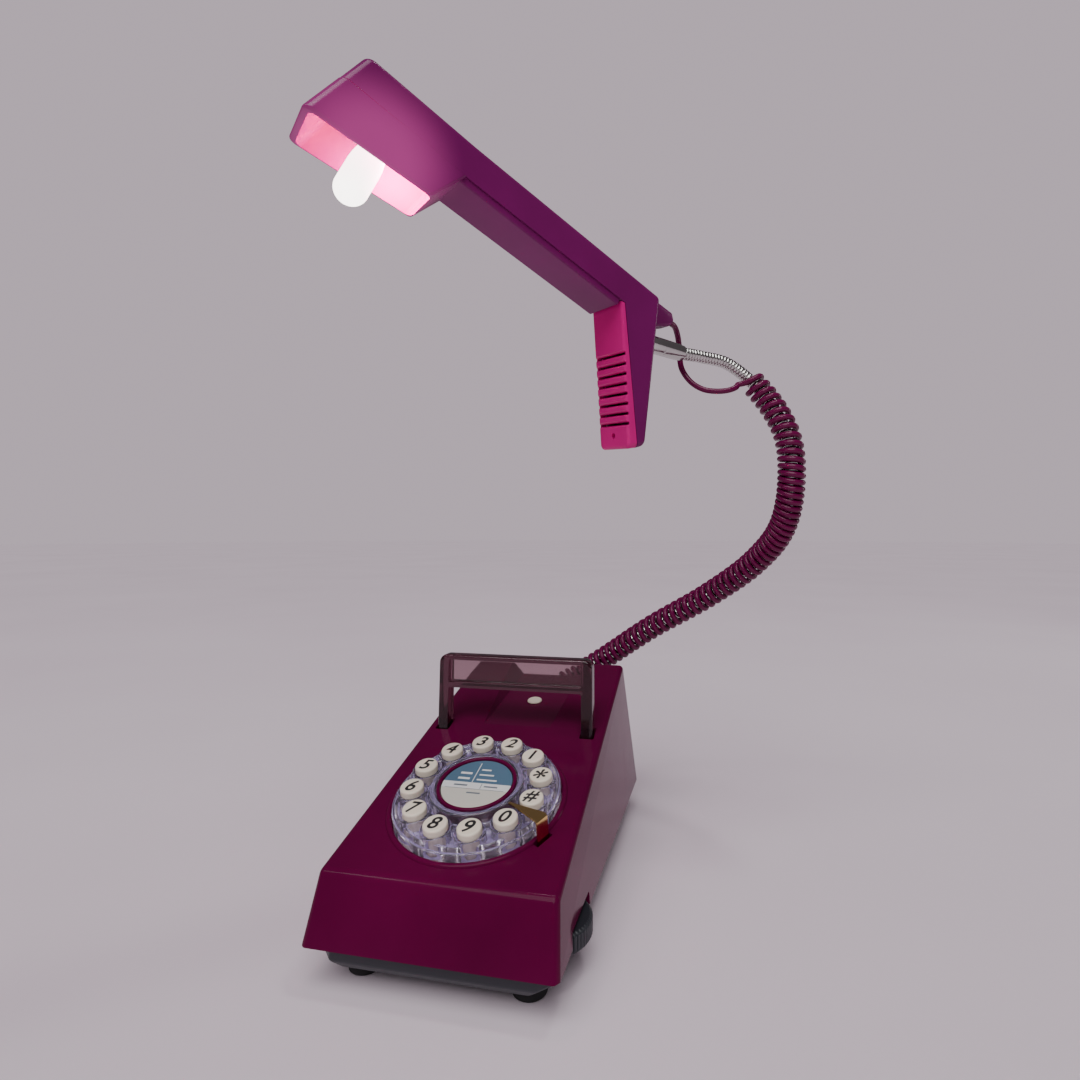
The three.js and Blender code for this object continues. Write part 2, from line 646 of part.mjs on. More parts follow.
// points of the side outline: x along the arm, depth measured inwards from the back
const BEND_BACK = [0, 0];
const LEG_BACK = [-25.7, 75.2];
const LEG_FRONT = [-16.6, 81.8];
const BEND_FRONT = [20.7, 16.5];
const HEAD_REAR_TOP = [115.8, 16.4];
const HEAD_REAR_RIM = [124.6, 34.4];
const HEAD_TIP_RIM = [182, 37.3];
const HEAD_TIP_SEAM = [176.6, 16.4];
const LEG_SEAM = [-21.5, 78.6];
const BEND_SEAM = [18.5, 16];
const ROUND = 2.6;
const SHELL = 2.2;

// a rounded body over corners given as [along, depth, half width]
function shell(corners, round, quarter = 2) {
  const points = corners.flatMap(([u, w, half]) => [vec(u, half - round, -w), vec(u, -half + round, -w)]);
  return roundedHull(points, round, quarter);
}

function sharp(corners) {
  return plainHull(corners.flatMap(([u, w, half]) => [vec(u, half, -w), vec(u, -half, -w)]));
}

// everything deeper than the seam between the two shells
const SEAM = 16;
const belowSeam = (w) => block(-80, 260, -60, 60, -200, -w);

function armOutside() {
  const h = ARM_HALF;
  const r = ROUND;
  const arm = shell([[r, r, h], [130, r, h], [130, 30, h], [8, 30, h]], r);
  const head = shell([[126, r, h], [ARM_LENGTH - r, r, 15.6], [180, 34, 16.6], [126, 34, h]], r);
  return join(arm, head);
}

function legOutside() {
  const r = ROUND;
  return toSolid(shell([
    [BEND_BACK[0] - 0.2, r + 2, ARM_HALF], [BEND_BACK[0] + 4, r, ARM_HALF], [22, r + 1, ARM_HALF],
    [BEND_FRONT[0] - 2.3, BEND_FRONT[1] - 1.3, ARM_HALF],
    [LEG_FRONT[0] - r, LEG_FRONT[1] - r, ARM_HALF - 0.8], [LEG_BACK[0] + r, LEG_BACK[1] - r, ARM_HALF - 0.8],
  ], r));
}

// the leg's back shell lies behind this wedge; the slotted mouthpiece lies in front of it
function mouthSide(shift) {
  return sharp([
    [BEND_SEAM[0] - shift, BEND_SEAM[1], 40], [LEG_SEAM[0] - shift, LEG_SEAM[1], 40],
    [LEG_SEAM[0] - shift - 8, LEG_SEAM[1] + 24, 40], [80, 110, 40], [60, BEND_SEAM[1], 40],
  ]);
}

function handsetBack() {
  const outside = armOutside().subtract(toSolid(belowSeam(SEAM)));
  const leg = legOutside().subtract(toSolid(mouthSide(0)));
  const armRoom = sharp([[14, SHELL + 0.8, 10.6], [ARM_LENGTH - 5, SHELL + 0.8, 12.6],
    [ARM_LENGTH - 1, 40, 12.8], [14, 40, 10.6]]);
  const legRoom = sharp([[2.5, 4, 10.6], [20, 4, 10.6], [30, 30, 10.6], [-10, 74, 10], [-19, 66, 10]]);
  return outside.add(leg).subtract(toSolid(armRoom)).subtract(toSolid(legRoom))
    .subtract(toSolid(ferruleTool(FERRULE_R - 1.2, 9)));
}

function handsetFront() {
  const top = SEAM + GAP;
  const panel = shell([[21.4, 10, 12.6], [122, 10, 12.6], [122, 19.2 - 2, 12.6], [21.4, 19.2 - 2, 12.6]], 2);
  const box = shell([
    [HEAD_REAR_TOP[0] + 2, 12, HEAD_HALF], [HEAD_REAR_RIM[0] + 2, HEAD_REAR_RIM[1] - 1.5, HEAD_HALF],
    [HEAD_TIP_RIM[0] - 2.4, HEAD_TIP_RIM[1] - 1.5, HEAD_HALF], [HEAD_TIP_SEAM[0] - 3, 12, HEAD_HALF - 0.2],
  ], 1.5, 2);
  const room = sharp([
    [HEAD_REAR_TOP[0] + 4, 0, 13.8], [HEAD_REAR_RIM[0] + 3.4, 60, 14.4],
    [HEAD_TIP_RIM[0] + 1.5, 60, 14.4], [HEAD_TIP_SEAM[0] - 5.6, 0, 13.8],
  ]);
  const ledge = block(0, 200, -40, 40, -top, 30);
  return toSolid(panel).add(toSolid(box)).subtract(toSolid(room)).subtract(toSolid(ledge));
}

const SLOTS = 8;
const SLOT_FIRST = 26.4;
const SLOT_PITCH = 5.1;
const LEG_FACE_ANGLE = Math.atan2(BEND_FRONT[0] - LEG_FRONT[0], LEG_FRONT[1] - BEND_FRONT[1]);

// a cutter placed on the leg's slotted face, `d` down it from the bend
function onLegFace(geometry, d) {
  const u = BEND_FRONT[0] - d * Math.sin(LEG_FACE_ANGLE);
  const w = BEND_FRONT[1] + d * Math.cos(LEG_FACE_ANGLE);
  geometry.rotateY(LEG_FACE_ANGLE);
  geometry.translate(u, 0, -w);
  return geometry;
}

function mouthpiece() {
  const whole = legOutside().intersect(toSolid(mouthSide(-GAP)));
  const panelRoom = block(0, 200, -40, 40, -19.2 - GAP, 30);
  const slots = [...Array(SLOTS).keys()].map((i) => onLegFace(block(-9, 4, -11.4, 11.4, -0.9, 0.9),
    SLOT_FIRST + i * SLOT_PITCH));
  const screwHole = onLegFace(new THREE.CylinderGeometry(1.6, 1.6, 5, 8).rotateZ(Math.PI / 2), 68);
  return [...slots, screwHole, panelRoom].reduce((solid, tool) => solid.subtract(toSolid(tool)), whole);
}

// ---- lamp in the earpiece ----
const BULB_U = 152;
const BULB_R = 7.3;
const BULB_END = 53.6;
const HOLDER_TOP = SHELL + 0.8 + GAP;
const HOLDER_END = 21;

function lampHolder() {
  return turned([[0, -HOLDER_TOP], [9.5, -HOLDER_TOP], [9.5, -HOLDER_TOP - 3], [7.6, -HOLDER_TOP - 3.6],
    [7.6, -HOLDER_END], [6.2, -HOLDER_END], [6.2, -HOLDER_END + 5], [0, -HOLDER_END + 5]].reverse(), 16);
}

function bulb() {
  const neckZ = -HOLDER_END - 4 - GAP;
  const section = [[0, -HOLDER_END + 4.6], [5.8, -HOLDER_END + 4.6], [5.8, neckZ], [6.6, neckZ - 4],
    [BULB_R, neckZ - 9]];
  const tip = BULB_END - BULB_R;
  for (let i = 0; i <= 4; i += 1) {
    const a = i * 22.5 * DEG;
    section.push([BULB_R * Math.cos(a), -tip - BULB_R * Math.sin(a)]);
  }
  section[section.length - 1][0] = 0;
  return turned(section.reverse(), 16);
}

// ---- fittings between handset and neck ----
const FERRULE_ROOT = [-8.2, 19.8];
const FERRULE_R = 4.8;
const FERRULE_LENGTH = 28.6;
const LEG_BACK_NORMAL = Math.atan2(-LEG_BACK[0], LEG_BACK[1]);

function alongFerrule(geometry) {
  geometry.rotateY(-Math.PI / 2 + LEG_BACK_NORMAL);
  geometry.translate(FERRULE_ROOT[0], 0, -FERRULE_ROOT[1]);
  return geometry;
}

function ferruleTool(r, reach) {
  return alongFerrule(upright(r, -reach, reach, 0, 0, 16));
}

function ferrule() {
  const bore = HOSE_R + 0.5;
  return alongFerrule(turned([
    [0, -6], [FERRULE_R - 1.2 - GAP, -6], [FERRULE_R - 1.2 - GAP, GAP], [FERRULE_R + 1.2, GAP],
    [FERRULE_R + 1.2, 2.2], [FERRULE_R, 2.6], [FERRULE_R, 13], [FERRULE_R - 0.2, 24],
    [FERRULE_R - 0.5, FERRULE_LENGTH], [bore, FERRULE_LENGTH], [bore, 20], [0, 20],
  ], 16));
}

function cordBoot() {
  const root = shell([[-2.2, 1.5, 8.5], [-2.4, 3, 8.5], [-7, 12, 7], [-16, -2.5, 5], [-18.5, 0.5, 4.6],
    [-17, 3.5, 4.6]], 1.2, 2);
  return toSolid(root).subtract(legRoomOutside()).subtract(toSolid(bootBore()));
}

function bootBore() {
  const bore = upright(CORD_R + GAP, -14, 14, 0, 0, 12);
  bore.rotateY(-Math.PI / 2);
  bore.rotateY(-12 * DEG);
  bore.translate(-17.5, 0, -1);
  return bore;
}

// the handset's outside, grown by the running gap
function legRoomOutside() {
  const g = GAP;
  const r = ROUND;
  const solid = toSolid(shell([
    [BEND_BACK[0] - 0.2, r + 2, ARM_HALF + g], [BEND_BACK[0] + 4, r, ARM_HALF + g], [30, r, ARM_HALF + g],
    [30, 40, ARM_HALF + g], [LEG_BACK[0] + r, LEG_BACK[1] - r, ARM_HALF + g],
  ], r + g));
  return solid.add(toSolid(shell([[r, r, ARM_HALF + g], [60, r, ARM_HALF + g], [60, 30, ARM_HALF + g],
    [8, 30, ARM_HALF + g]], r + g)));
}

// the loose loop of cord between the handset's boot and the first turn of the coil, in handset axes
const LOOP_ROUTE = [
  [-20.4, -0.8, -0.6], [-25.5, -3, -2], [-32.8, -7, -0.7], [-37.9, -9, 3.4], [-41.1, -9, 8.9],
  [-44, -7, 14.9], [-49.6, -2, 20.8], [-55.6, 3, 22.6], [-60.5, 8, 21.6], [-65.4, 12.2, 18.6],
  [-69.2, 13.4, 14.2], [-69.9, 12.5, 10.9],
].map(([u, n, w]) => vec(u, n, -w));

function cordLoop() {
  const route = new THREE.CatmullRomCurve3(LOOP_ROUTE, false, 'centripetal');
  return tubeAlong(route, CORD_R, 0, 14, 8);
}

// ---- assembly ----
function place(piece, x, y, z) {
  piece.position.set(x, y, z);
  return piece;
}

function onMatrix(group, matrix) {
  group.quaternion.setFromRotationMatrix(matrix);
  group.position.setFromMatrixPosition(matrix);
  return group;
}

function baseGroup() {
  const group = new THREE.Group();
  group.add(mesh('base_cover', baseCover(), PLUM));
  group.add(mesh('channel_plug', channelPlug(), CREAM));
  group.add(mesh('base_plate', basePlate(), BLACK));
  group.add(mesh('ballast_slab', ballast(), STEEL));
  for (const [name, [x, y]] of Object.entries(FEET)) group.add(place(mesh(name, foot(), RUBBER), x, y, 0));
  SCREWS.forEach(([x, y], i) => {
    group.add(place(mesh(`plate_screw_${i + 1}`, plateScrew(), STEEL), x, y, FOOT_H));
  });
  group.add(mesh('main_board', mainBoard(), BOARD));
  group.add(mesh('tone_sounder', sounder(), BLACK));
  group.add(mesh('hook_switch', hookBlock(), BLACK));
  group.add(mesh('hook_spring', hookSpring(), STEEL));
  group.add(place(mesh('volume_wheel', volumeWheel(), BLACK), WHEEL_X, WHEEL_Y, 0));
  group.add(place(mesh('volume_pot', volumePot(), STEEL), WHEEL_X, WHEEL_Y, 0));
  group.add(mesh('cradle_frame', cradleFrame(), SMOKE));
  group.add(mesh('hook_lever', hookLever(), BLACK));
  return group;
}

function dialGroup() {
  const dial = onMatrix(new THREE.Group(), DECK);
  const centre = new THREE.Group();
  centre.position.y = DIAL_CENTRE;
  dial.add(centre);
  centre.add(mesh('dial_plate', dialPlateSolid(), LILAC));
  centre.add(mesh('dial_bezel', dialBezel(), CLEAR));
  centre.add(mesh('hub_ring', hubRing(), CLEAR));
  centre.add(mesh('label_ring', labelRing(), PLUM));
  centre.add(mesh('label_card', labelCard(), LABEL));
  centre.add(mesh('keypad_mat', keypadMat(), RUBBER));
  const stop = mesh('finger_stop', fingerStop(), GOLD);
  stop.rotation.z = STOP_ANGLE;
  centre.add(stop);
  BUTTON_MARKS.forEach((mark, i) => {
    const [x, y] = keyPlace(i);
    centre.add(place(mesh(`key_${mark}`, button(), CREAM), x, y, 0));
  });
  return dial;
}

function rearGroup() {
  const group = new THREE.Group();
  const fittings = [
    [0, SOCKET_Z, ['neck_socket', neckSocket(), CHROME], ['neck_locknut', neckLocknut(), STEEL]],
    [0, GROMMET_Z, ['cord_grommet', cordGrommet(), RUBBER]],
    [GLAND_X, GLAND_Z, ['mains_gland', mainsGland(), RUBBER]],
  ];
  for (const [x, z, ...pieces] of fittings) {
    const seat = onMatrix(new THREE.Group(), REAR(x, z));
    pieces.forEach((piece) => seat.add(mesh(...piece)));
    group.add(seat);
  }
  return group;
}

function neckGroup() {
  const group = new THREE.Group();
  for (let i = 0; i <= PIVOTS.length; i += 1) {
    group.add(mesh(`neck_hose_${i}`, hoseStretch(i), CHROME));
    group.add(mesh(`cord_coil_${i}`, coilStretch(i), CORD));
  }
  group.add(mesh('cord_lead', cordLead(), CORD));
  return group;
}

function handsetGroup() {
  const handset = handsetFrame();
  handset.add(mesh('handset_back', handsetBack(), PLUM_HANDSET));
  handset.add(mesh('handset_front', handsetFront(), PLUM_HANDSET));
  handset.add(mesh('mouthpiece', mouthpiece(), PLUM_HANDSET));
  handset.add(mesh('neck_ferrule', ferrule(), CHROME));
  handset.add(mesh('cord_boot', cordBoot(), PLUM_HANDSET));
  handset.add(mesh('cord_loop', cordLoop(), CORD));
  const lamp = new THREE.Group();
  lamp.position.x = BULB_U;
  lamp.add(mesh('lamp_holder', lampHolder(), CERAMIC));
  lamp.add(mesh('bulb_globe', bulb(), FROSTED));
  handset.add(lamp);
  return handset;
}

const CORD_PIECES = /^cord_(coil|loop|lead)/;

// the origin lies under the middle of the object's box, its cord left out of account
function centred(body) {
  const box = new THREE.Box3();
  body.updateMatrixWorld(true);
  body.traverse((piece) => {
    if (piece.isMesh && !CORD_PIECES.test(piece.name)) box.expandByObject(piece, true);
  });
  const middle = box.getCenter(vec(0, 0, 0));
  body.position.set(-middle.x, -middle.y, -box.min.z);
  return body;
}

const body = new THREE.Group();
body.add(baseGroup(), dialGroup(), rearGroup(), neckGroup(), handsetGroup());
const telephone = new THREE.Group();
telephone.add(centred(body));
export default telephone;
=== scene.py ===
import json
import math
from bisect import bisect_right

import bmesh
import bpy
from mathutils import Matrix, Vector

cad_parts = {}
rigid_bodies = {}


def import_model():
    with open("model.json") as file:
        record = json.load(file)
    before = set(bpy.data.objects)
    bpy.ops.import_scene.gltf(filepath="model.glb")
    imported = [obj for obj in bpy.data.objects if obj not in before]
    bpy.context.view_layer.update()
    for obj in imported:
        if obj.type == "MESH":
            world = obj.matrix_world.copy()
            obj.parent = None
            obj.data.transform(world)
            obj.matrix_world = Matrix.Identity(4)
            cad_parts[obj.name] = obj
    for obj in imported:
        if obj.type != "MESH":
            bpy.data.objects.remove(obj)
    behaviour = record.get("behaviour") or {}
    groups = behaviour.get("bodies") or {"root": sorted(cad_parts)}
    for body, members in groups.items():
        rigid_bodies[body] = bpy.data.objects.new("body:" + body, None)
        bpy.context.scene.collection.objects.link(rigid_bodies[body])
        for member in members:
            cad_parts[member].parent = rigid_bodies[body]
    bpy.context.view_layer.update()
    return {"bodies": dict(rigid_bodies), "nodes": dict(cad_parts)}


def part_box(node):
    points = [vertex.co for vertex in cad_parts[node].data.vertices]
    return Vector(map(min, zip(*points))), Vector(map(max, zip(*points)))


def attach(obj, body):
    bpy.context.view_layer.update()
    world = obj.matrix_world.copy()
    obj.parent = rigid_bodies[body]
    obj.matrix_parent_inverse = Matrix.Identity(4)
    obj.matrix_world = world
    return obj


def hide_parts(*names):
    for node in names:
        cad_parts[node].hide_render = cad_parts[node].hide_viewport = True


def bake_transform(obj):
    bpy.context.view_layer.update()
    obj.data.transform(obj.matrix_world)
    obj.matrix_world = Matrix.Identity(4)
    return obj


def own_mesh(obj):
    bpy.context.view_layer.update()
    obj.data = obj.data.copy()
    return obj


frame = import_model()
scene = bpy.context.scene

MM = 0.001
DEG = math.pi / 180
GAP = 0.35

# ---- driving dimensions, as in the CAD part ----
FRONT_BOTTOM_Y = -7.5
DECK_SLOPE = 16.6 * DEG
DECK_LENGTH = 178
FRONT_TOP_Z = 42
FRONT_TOP_HALF = 50
FRONT_BOTTOM_HALF = 52
REAR_TOP_HALF = 47.5
REAR_BOTTOM_HALF = 52.5
COVER_BOTTOM_Z = 17
COVER_WALL = 3.2
REAR_BOTTOM_Y = 194
REAR_TOP_Y = DECK_LENGTH * math.cos(DECK_SLOPE)
REAR_TOP_Z = FRONT_TOP_Z + DECK_LENGTH * math.sin(DECK_SLOPE)
CHANNEL_START = 105.5
CHANNEL_FLOOR_SLOPE = 9 * DEG
CHANNEL_HALF = 18.5
CHANNEL_FLARE = 7.5
PLUG_ALONG = 137
DIAL_CENTRE = 48.2
RIDGE_R = 39.8
BEZEL_R = 38
BEZEL_INNER_R = 21.6
BEZEL_TOP = 4.6
WELL_DEPTH = 3.4
HUB_R = 18.6
HUB_TOP = 8
LABEL_R = 16.5
BUTTON_CIRCLE_R = 29.2
BUTTON_R = 5.3
BUTTON_TOP = 9.3
CAP_BOTTOM = 6.1
COLLAR_TOP = 6.8
BUTTON_START = 15 * DEG
BUTTON_MARKS = ["2", "1", "star", "hash", "0", "9", "8", "7", "6", "5", "4", "3"]
CRADLE_Y = 98.8 * math.cos(DECK_SLOPE)
CRADLE_HALF = 43
CRADLE_POST = 5.8
CRADLE_DEPTH = 8
CRADLE_GAP = 0.9
CRADLE_TOP_Z = 109
FOOT_R = 7
FOOT_H = 6.5
WHEEL_R = 20
WHEEL_PLACE = (36.3, 30)
WHEEL_BOTTOM_Z = 12.6
WHEEL_TOP_Z = 20.4
SOCKET_PLACE = (0, 68)
GROMMET_PLACE = (0, 50)
GLAND_PLACE = (-30, 30)
PANE_HALF = 0.9
SPRING_LOW_Z = 38.0
SPRING_TOP_Z = 47.3
HOSE_R = 3.6
TURN_R = 6.05
CORD_R = 1.65

# the frame's origin, from the base cover's own box
cover_low, cover_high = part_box("base_cover")
ORIGIN = Vector(((cover_low.x + cover_high.x) / 2, cover_low.y - FRONT_BOTTOM_Y * MM, 0))
TO_FRAME = Matrix.Translation(ORIGIN) @ Matrix.Scale(MM, 4)


def at(x, y, z):
    return TO_FRAME @ Vector((x, y, z))


def new_object(name, data):
    obj = bpy.data.objects.new(name, data)
    scene.collection.objects.link(obj)
    return obj


# ---- camera ----
def make_camera():
    data = bpy.data.cameras.new("camera")
    data.sensor_width = 36
    data.lens = 21.99
    data.shift_x = -0.0386
    data.shift_y = -0.0902
    data.clip_start = 0.01
    camera = new_object("camera", data)
    camera.location = at(115.5, -255.7, 178.4)
    camera.rotation_euler = (math.radians(90 + 7.33), 0, math.radians(12.53))
    scene.camera = camera


make_camera()


# ---- material helpers ----
def node_material(name):
    material = bpy.data.materials.new(name)
    material.use_nodes = True
    tree = material.node_tree
    shader = tree.nodes["Principled BSDF"]
    return material, tree, shader


def noise(tree, scale, detail=3.0, stretch=(1, 1, 1)):
    coords = tree.nodes.new("ShaderNodeTexCoord")
    mapping = tree.nodes.new("ShaderNodeMapping")
    mapping.inputs["Scale"].default_value = stretch
    texture = tree.nodes.new("ShaderNodeTexNoise")
    texture.inputs["Scale"].default_value = scale
    texture.inputs["Detail"].default_value = detail
    tree.links.new(coords.outputs["Object"], mapping.inputs["Vector"])
    tree.links.new(mapping.outputs["Vector"], texture.inputs["Vector"])
    return texture.outputs["Fac"]


def spread(tree, value, low, high, from_low=0.3, from_high=0.7, easing="LINEAR"):
    ranged = tree.nodes.new("ShaderNodeMapRange")
    ranged.interpolation_type = easing
    ranged.inputs["From Min"].default_value = from_low
    ranged.inputs["From Max"].default_value = from_high
    ranged.inputs["To Min"].default_value = low
    ranged.inputs["To Max"].default_value = high
    tree.links.new(value, ranged.inputs["Value"])
    return ranged.outputs["Result"]


def tint(tree, value, dark, light):
    ramp = tree.nodes.new("ShaderNodeValToRGB")
    ramp.color_ramp.elements[0].position = 0.3
    ramp.color_ramp.elements[0].color = (*dark, 1)
    ramp.color_ramp.elements[1].position = 0.7
    ramp.color_ramp.elements[1].color = (*light, 1)
    tree.links.new(value, ramp.inputs["Fac"])
    return ramp.outputs["Color"]


def add_bump(tree, shader, value, strength, distance=0.0002):
    bump = tree.nodes.new("ShaderNodeBump")
    bump.inputs["Strength"].default_value = strength
    bump.inputs["Distance"].default_value = distance
    tree.links.new(value, bump.inputs["Height"])
    tree.links.new(bump.outputs["Normal"], shader.inputs["Normal"])
    return bump


def moulded(name, colour, roughness, variation=0.12, grain=900, grain_strength=0.05,
            specular=0.5, dust=0.06):
    """Injection-moulded plastic: clouded colour, fine grain, dusty roughness."""
    material, tree, shader = node_material(name)
    dark = tuple(c * (1 - variation) for c in colour)
    light = tuple(min(1, c * (1 + variation)) for c in colour)
    tree.links.new(tint(tree, noise(tree, 22, 4), dark, light), shader.inputs["Base Color"])
    tree.links.new(spread(tree, noise(tree, 60, 6), roughness, roughness + dust),
                   shader.inputs["Roughness"])
    add_bump(tree, shader, noise(tree, grain, 2), grain_strength)
    shader.inputs["Specular IOR Level"].default_value = specular
    return material


def printed_card(name, colour, roughness, variation):
    return moulded(name, colour, roughness, variation, grain=2500, grain_strength=0.12)


def metal(name, colour, roughness, streak=(1, 1, 1), scale=300, variation=0.06, bump=0.04):
    material, tree, shader = node_material(name)
    dark = tuple(c * (1 - variation) for c in colour)
    tree.links.new(tint(tree, noise(tree, 40, 4), dark, colour), shader.inputs["Base Color"])
    tree.links.new(spread(tree, noise(tree, scale, 5, streak), roughness, roughness + 0.1),
                   shader.inputs["Roughness"])
    add_bump(tree, shader, noise(tree, scale, 4, streak), bump, 0.00005)
    shader.inputs["Metallic"].default_value = 1
    return material


def clear_plastic(name, colour, roughness, transmission, ior=1.42):
    material, tree, shader = node_material(name)
    dark = tuple(c * 0.9 for c in colour)
    tree.links.new(tint(tree, noise(tree, 30, 3), dark, colour), shader.inputs["Base Color"])
    tree.links.new(spread(tree, noise(tree, 150, 6), roughness, roughness + 0.06),
                   shader.inputs["Roughness"])
    add_bump(tree, shader, noise(tree, 120, 2), 0.02)
    shader.inputs["Transmission Weight"].default_value = transmission
    shader.inputs["IOR"].default_value = ior
    return material


def glowing(name, colour, strength):
    material, tree, shader = node_material(name)
    shade = tint(tree, noise(tree, 90, 3), tuple(c * 0.94 for c in colour), colour)
    tree.links.new(shade, shader.inputs["Base Color"])
    tree.links.new(shade, shader.inputs["Emission Color"])
    shader.inputs["Emission Strength"].default_value = strength
    shader.inputs["Roughness"].default_value = 0.45
    add_bump(tree, shader, noise(tree, 700, 3), 0.1)
    return material


LOOKS = {
    "deck": moulded("deck_plum", (0.100, 0.0010, 0.036), 0.10, specular=0.08),
    "handset": moulded("handset_plum", (0.18, 0.006, 0.115), 0.13, specular=0.22),
    # painted lamplight: the shade's inside is the handset plastic, coloured far paler and pinker as if lit
    # by the bulb
    "lamplit_shade_inside": moulded("lamplit_shade_inside", (0.90, 0.03, 0.40), 0.4, specular=0.1),
    "mouth": moulded("mouth_plum", (0.68, 0.006, 0.23), 0.14, specular=0.25),
    "black": moulded("black_moulding", (0.020, 0.023, 0.030), 0.42, grain=1500, grain_strength=0.18),
    "rubber": moulded("black_rubber", (0.012, 0.012, 0.013), 0.72, grain=1800, grain_strength=0.3),
    "cream": moulded("cream_moulding", (0.88, 0.79, 0.65), 0.28, variation=0.05),
    "clear": clear_plastic("clear_moulding", (0.93, 0.90, 1.0), 0.03, 0.96),
    "smoke": clear_plastic("smoked_moulding", (0.13, 0.040, 0.065), 0.05, 0.88),
    "pane": clear_plastic("smoked_pane", (0.46, 0.29, 0.33), 0.03, 0.96),
    "lilac": moulded("dial_lilac", (0.45, 0.38, 0.62), 0.35, variation=0.1),
    "gilt": metal("gilt_strip", (0.86, 0.62, 0.24), 0.09),
    "chrome": metal("bright_chrome", (0.66, 0.66, 0.63), 0.08, variation=0.25),
    "steel": metal("plain_steel", (0.45, 0.45, 0.46), 0.32, streak=(1, 12, 1), bump=0.1),
    "board": moulded("circuit_board", (0.015, 0.13, 0.05), 0.35),
    "cord": moulded("cord_vinyl", (0.135, 0.001, 0.055), 0.16, grain=2500, grain_strength=0.06,
                    specular=0.25),
    "ink": moulded("black_ink", (0.012, 0.011, 0.012), 0.5),
    "white_ink": moulded("white_ink", (0.80, 0.80, 0.80), 0.5),
    "grey_ink": moulded("grey_ink", (0.16, 0.19, 0.22), 0.5),
    "blue_card": printed_card("card_blue", (0.085, 0.16, 0.24), 0.4, 0.12),
    "cream_card": printed_card("card_cream", (0.62, 0.60, 0.54), 0.42, 0.05),
    "white_card": printed_card("card_white", (0.74, 0.75, 0.76), 0.42, 0.04),
    "lit_glass": glowing("lit_frosted_glass", (1.0, 0.95, 0.90), 6.0),
    "porcelain": moulded("holder_porcelain", (0.80, 0.76, 0.68), 0.22, variation=0.04),
}


# ---- mesh helpers, in millimetres ----
def mesh_of(points, faces):
    bm = bmesh.new()
    verts = [bm.verts.new(p) for p in points]
    for face in faces:
        bm.faces.new([verts[i] for i in face])
    bmesh.ops.recalc_face_normals(bm, faces=bm.faces)
    return bm


def hull(points):
    """A convex body with flat faces round the points."""
    bm = bmesh.new()
    for p in points:
        bm.verts.new(p)
    result = bmesh.ops.convex_hull(bm, input=bm.verts)
    inner = result["geom_interior"] + result["geom_unused"]
    spare = list({item for item in inner if isinstance(item, bmesh.types.BMVert)})
    bmesh.ops.delete(bm, geom=spare, context="VERTS")
    bmesh.ops.dissolve_limit(bm, angle_limit=0.5 * DEG, verts=bm.verts, edges=bm.edges)
    bmesh.ops.recalc_face_normals(bm, faces=bm.faces)
    return bm


def block(x0, x1, y0, y1, z0, z1):
    return hull([(x, y, z) for x in (x0, x1) for y in (y0, y1) for z in (z0, z1)])


def bevelled(bm, offset, segments=4, chosen=None, sharper_than=20):
    """bm with its sharp edges rounded: all of them, or those whose middle `chosen` accepts."""
    edges = []
    for edge in bm.edges:
        if len(edge.link_faces) != 2 or edge.calc_face_angle(0) < sharper_than * DEG:
            continue
        middle = (edge.verts[0].co + edge.verts[1].co) / 2
        if chosen is None or chosen(middle, edge):
            edges.append(edge)
    bmesh.ops.bevel(bm, geom=edges, offset=offset, segments=segments, profile=0.5, affect="EDGES",
                    clamp_overlap=True)
    return bm


def lathe(profile, sides=64):
    """A body of revolution about Z from (radius, height) pairs; open profiles start and end on the axis."""
    bm = bmesh.new()
    rings = []
    for r, z in profile:
        angles = [2 * math.pi * i / sides for i in range(sides if r else 1)]
        rings.append([bm.verts.new((r * math.cos(angle), r * math.sin(angle), z)) for angle in angles])
    for low, high in zip(rings, rings[1:] + rings[:1]):
        for i in range(sides):
            j = (i + 1) % sides
            corners = [low[i % len(low)], low[j % len(low)], high[j % len(high)], high[i % len(high)]]
            distinct = list(dict.fromkeys(corners))
            if len(distinct) > 2:
                bm.faces.new(distinct)
    bmesh.ops.recalc_face_normals(bm, faces=bm.faces)
    return bm


def arc(cx, cz, r, start, end, steps=5):
    return [(cx + r * math.cos((start + (end - start) * i / steps) * DEG),
             cz + r * math.sin((start + (end - start) * i / steps) * DEG)) for i in range(steps + 1)]


def skinned(rings):
    """A closed body through rings of points, each ring with the same number of them."""
    sides = len(rings[0])
    last = (len(rings) - 1) * sides
    faces = [(a + k, a + (k + 1) % sides, a + sides + (k + 1) % sides, a + sides + k)
             for a in range(0, last, sides) for k in range(sides)]
    faces += [tuple(range(sides))[::-1], tuple(range(last, last + sides))]
    return mesh_of([point for ring in rings for point in ring], faces)


def drum(r, z0, z1, x=0, y=0, sides=48):
    bm = lathe([(0, z0), (r, z0), (r, z1), (0, z1)], sides)
    return moved(bm, Matrix.Translation((x, y, 0)))


def moved(bm, matrix):
    bmesh.ops.transform(bm, matrix=matrix, verts=bm.verts)
    return bm


def merged(*parts):
    """Several loose bodies in one mesh."""
    whole = bmesh.new()
    for part in parts:
        spare = bpy.data.meshes.new("spare")
        part.to_mesh(spare)
        part.free()
        whole.from_mesh(spare)
        bpy.data.meshes.remove(spare)
    return whole


def object_of(name, bm):
    mesh = bpy.data.meshes.new(name)
    bm.to_mesh(mesh)
    bm.free()
    return new_object(name, mesh)


def shape_of(obj):
    """The object's final shape as a loose body; the object itself is removed."""
    graph = bpy.context.evaluated_depsgraph_get()
    mesh = bpy.data.meshes.new_from_object(obj.evaluated_get(graph))
    bm = bmesh.new()
    bm.from_mesh(mesh)
    bpy.data.meshes.remove(mesh)
    bpy.data.batch_remove((obj, obj.data))
    return bm


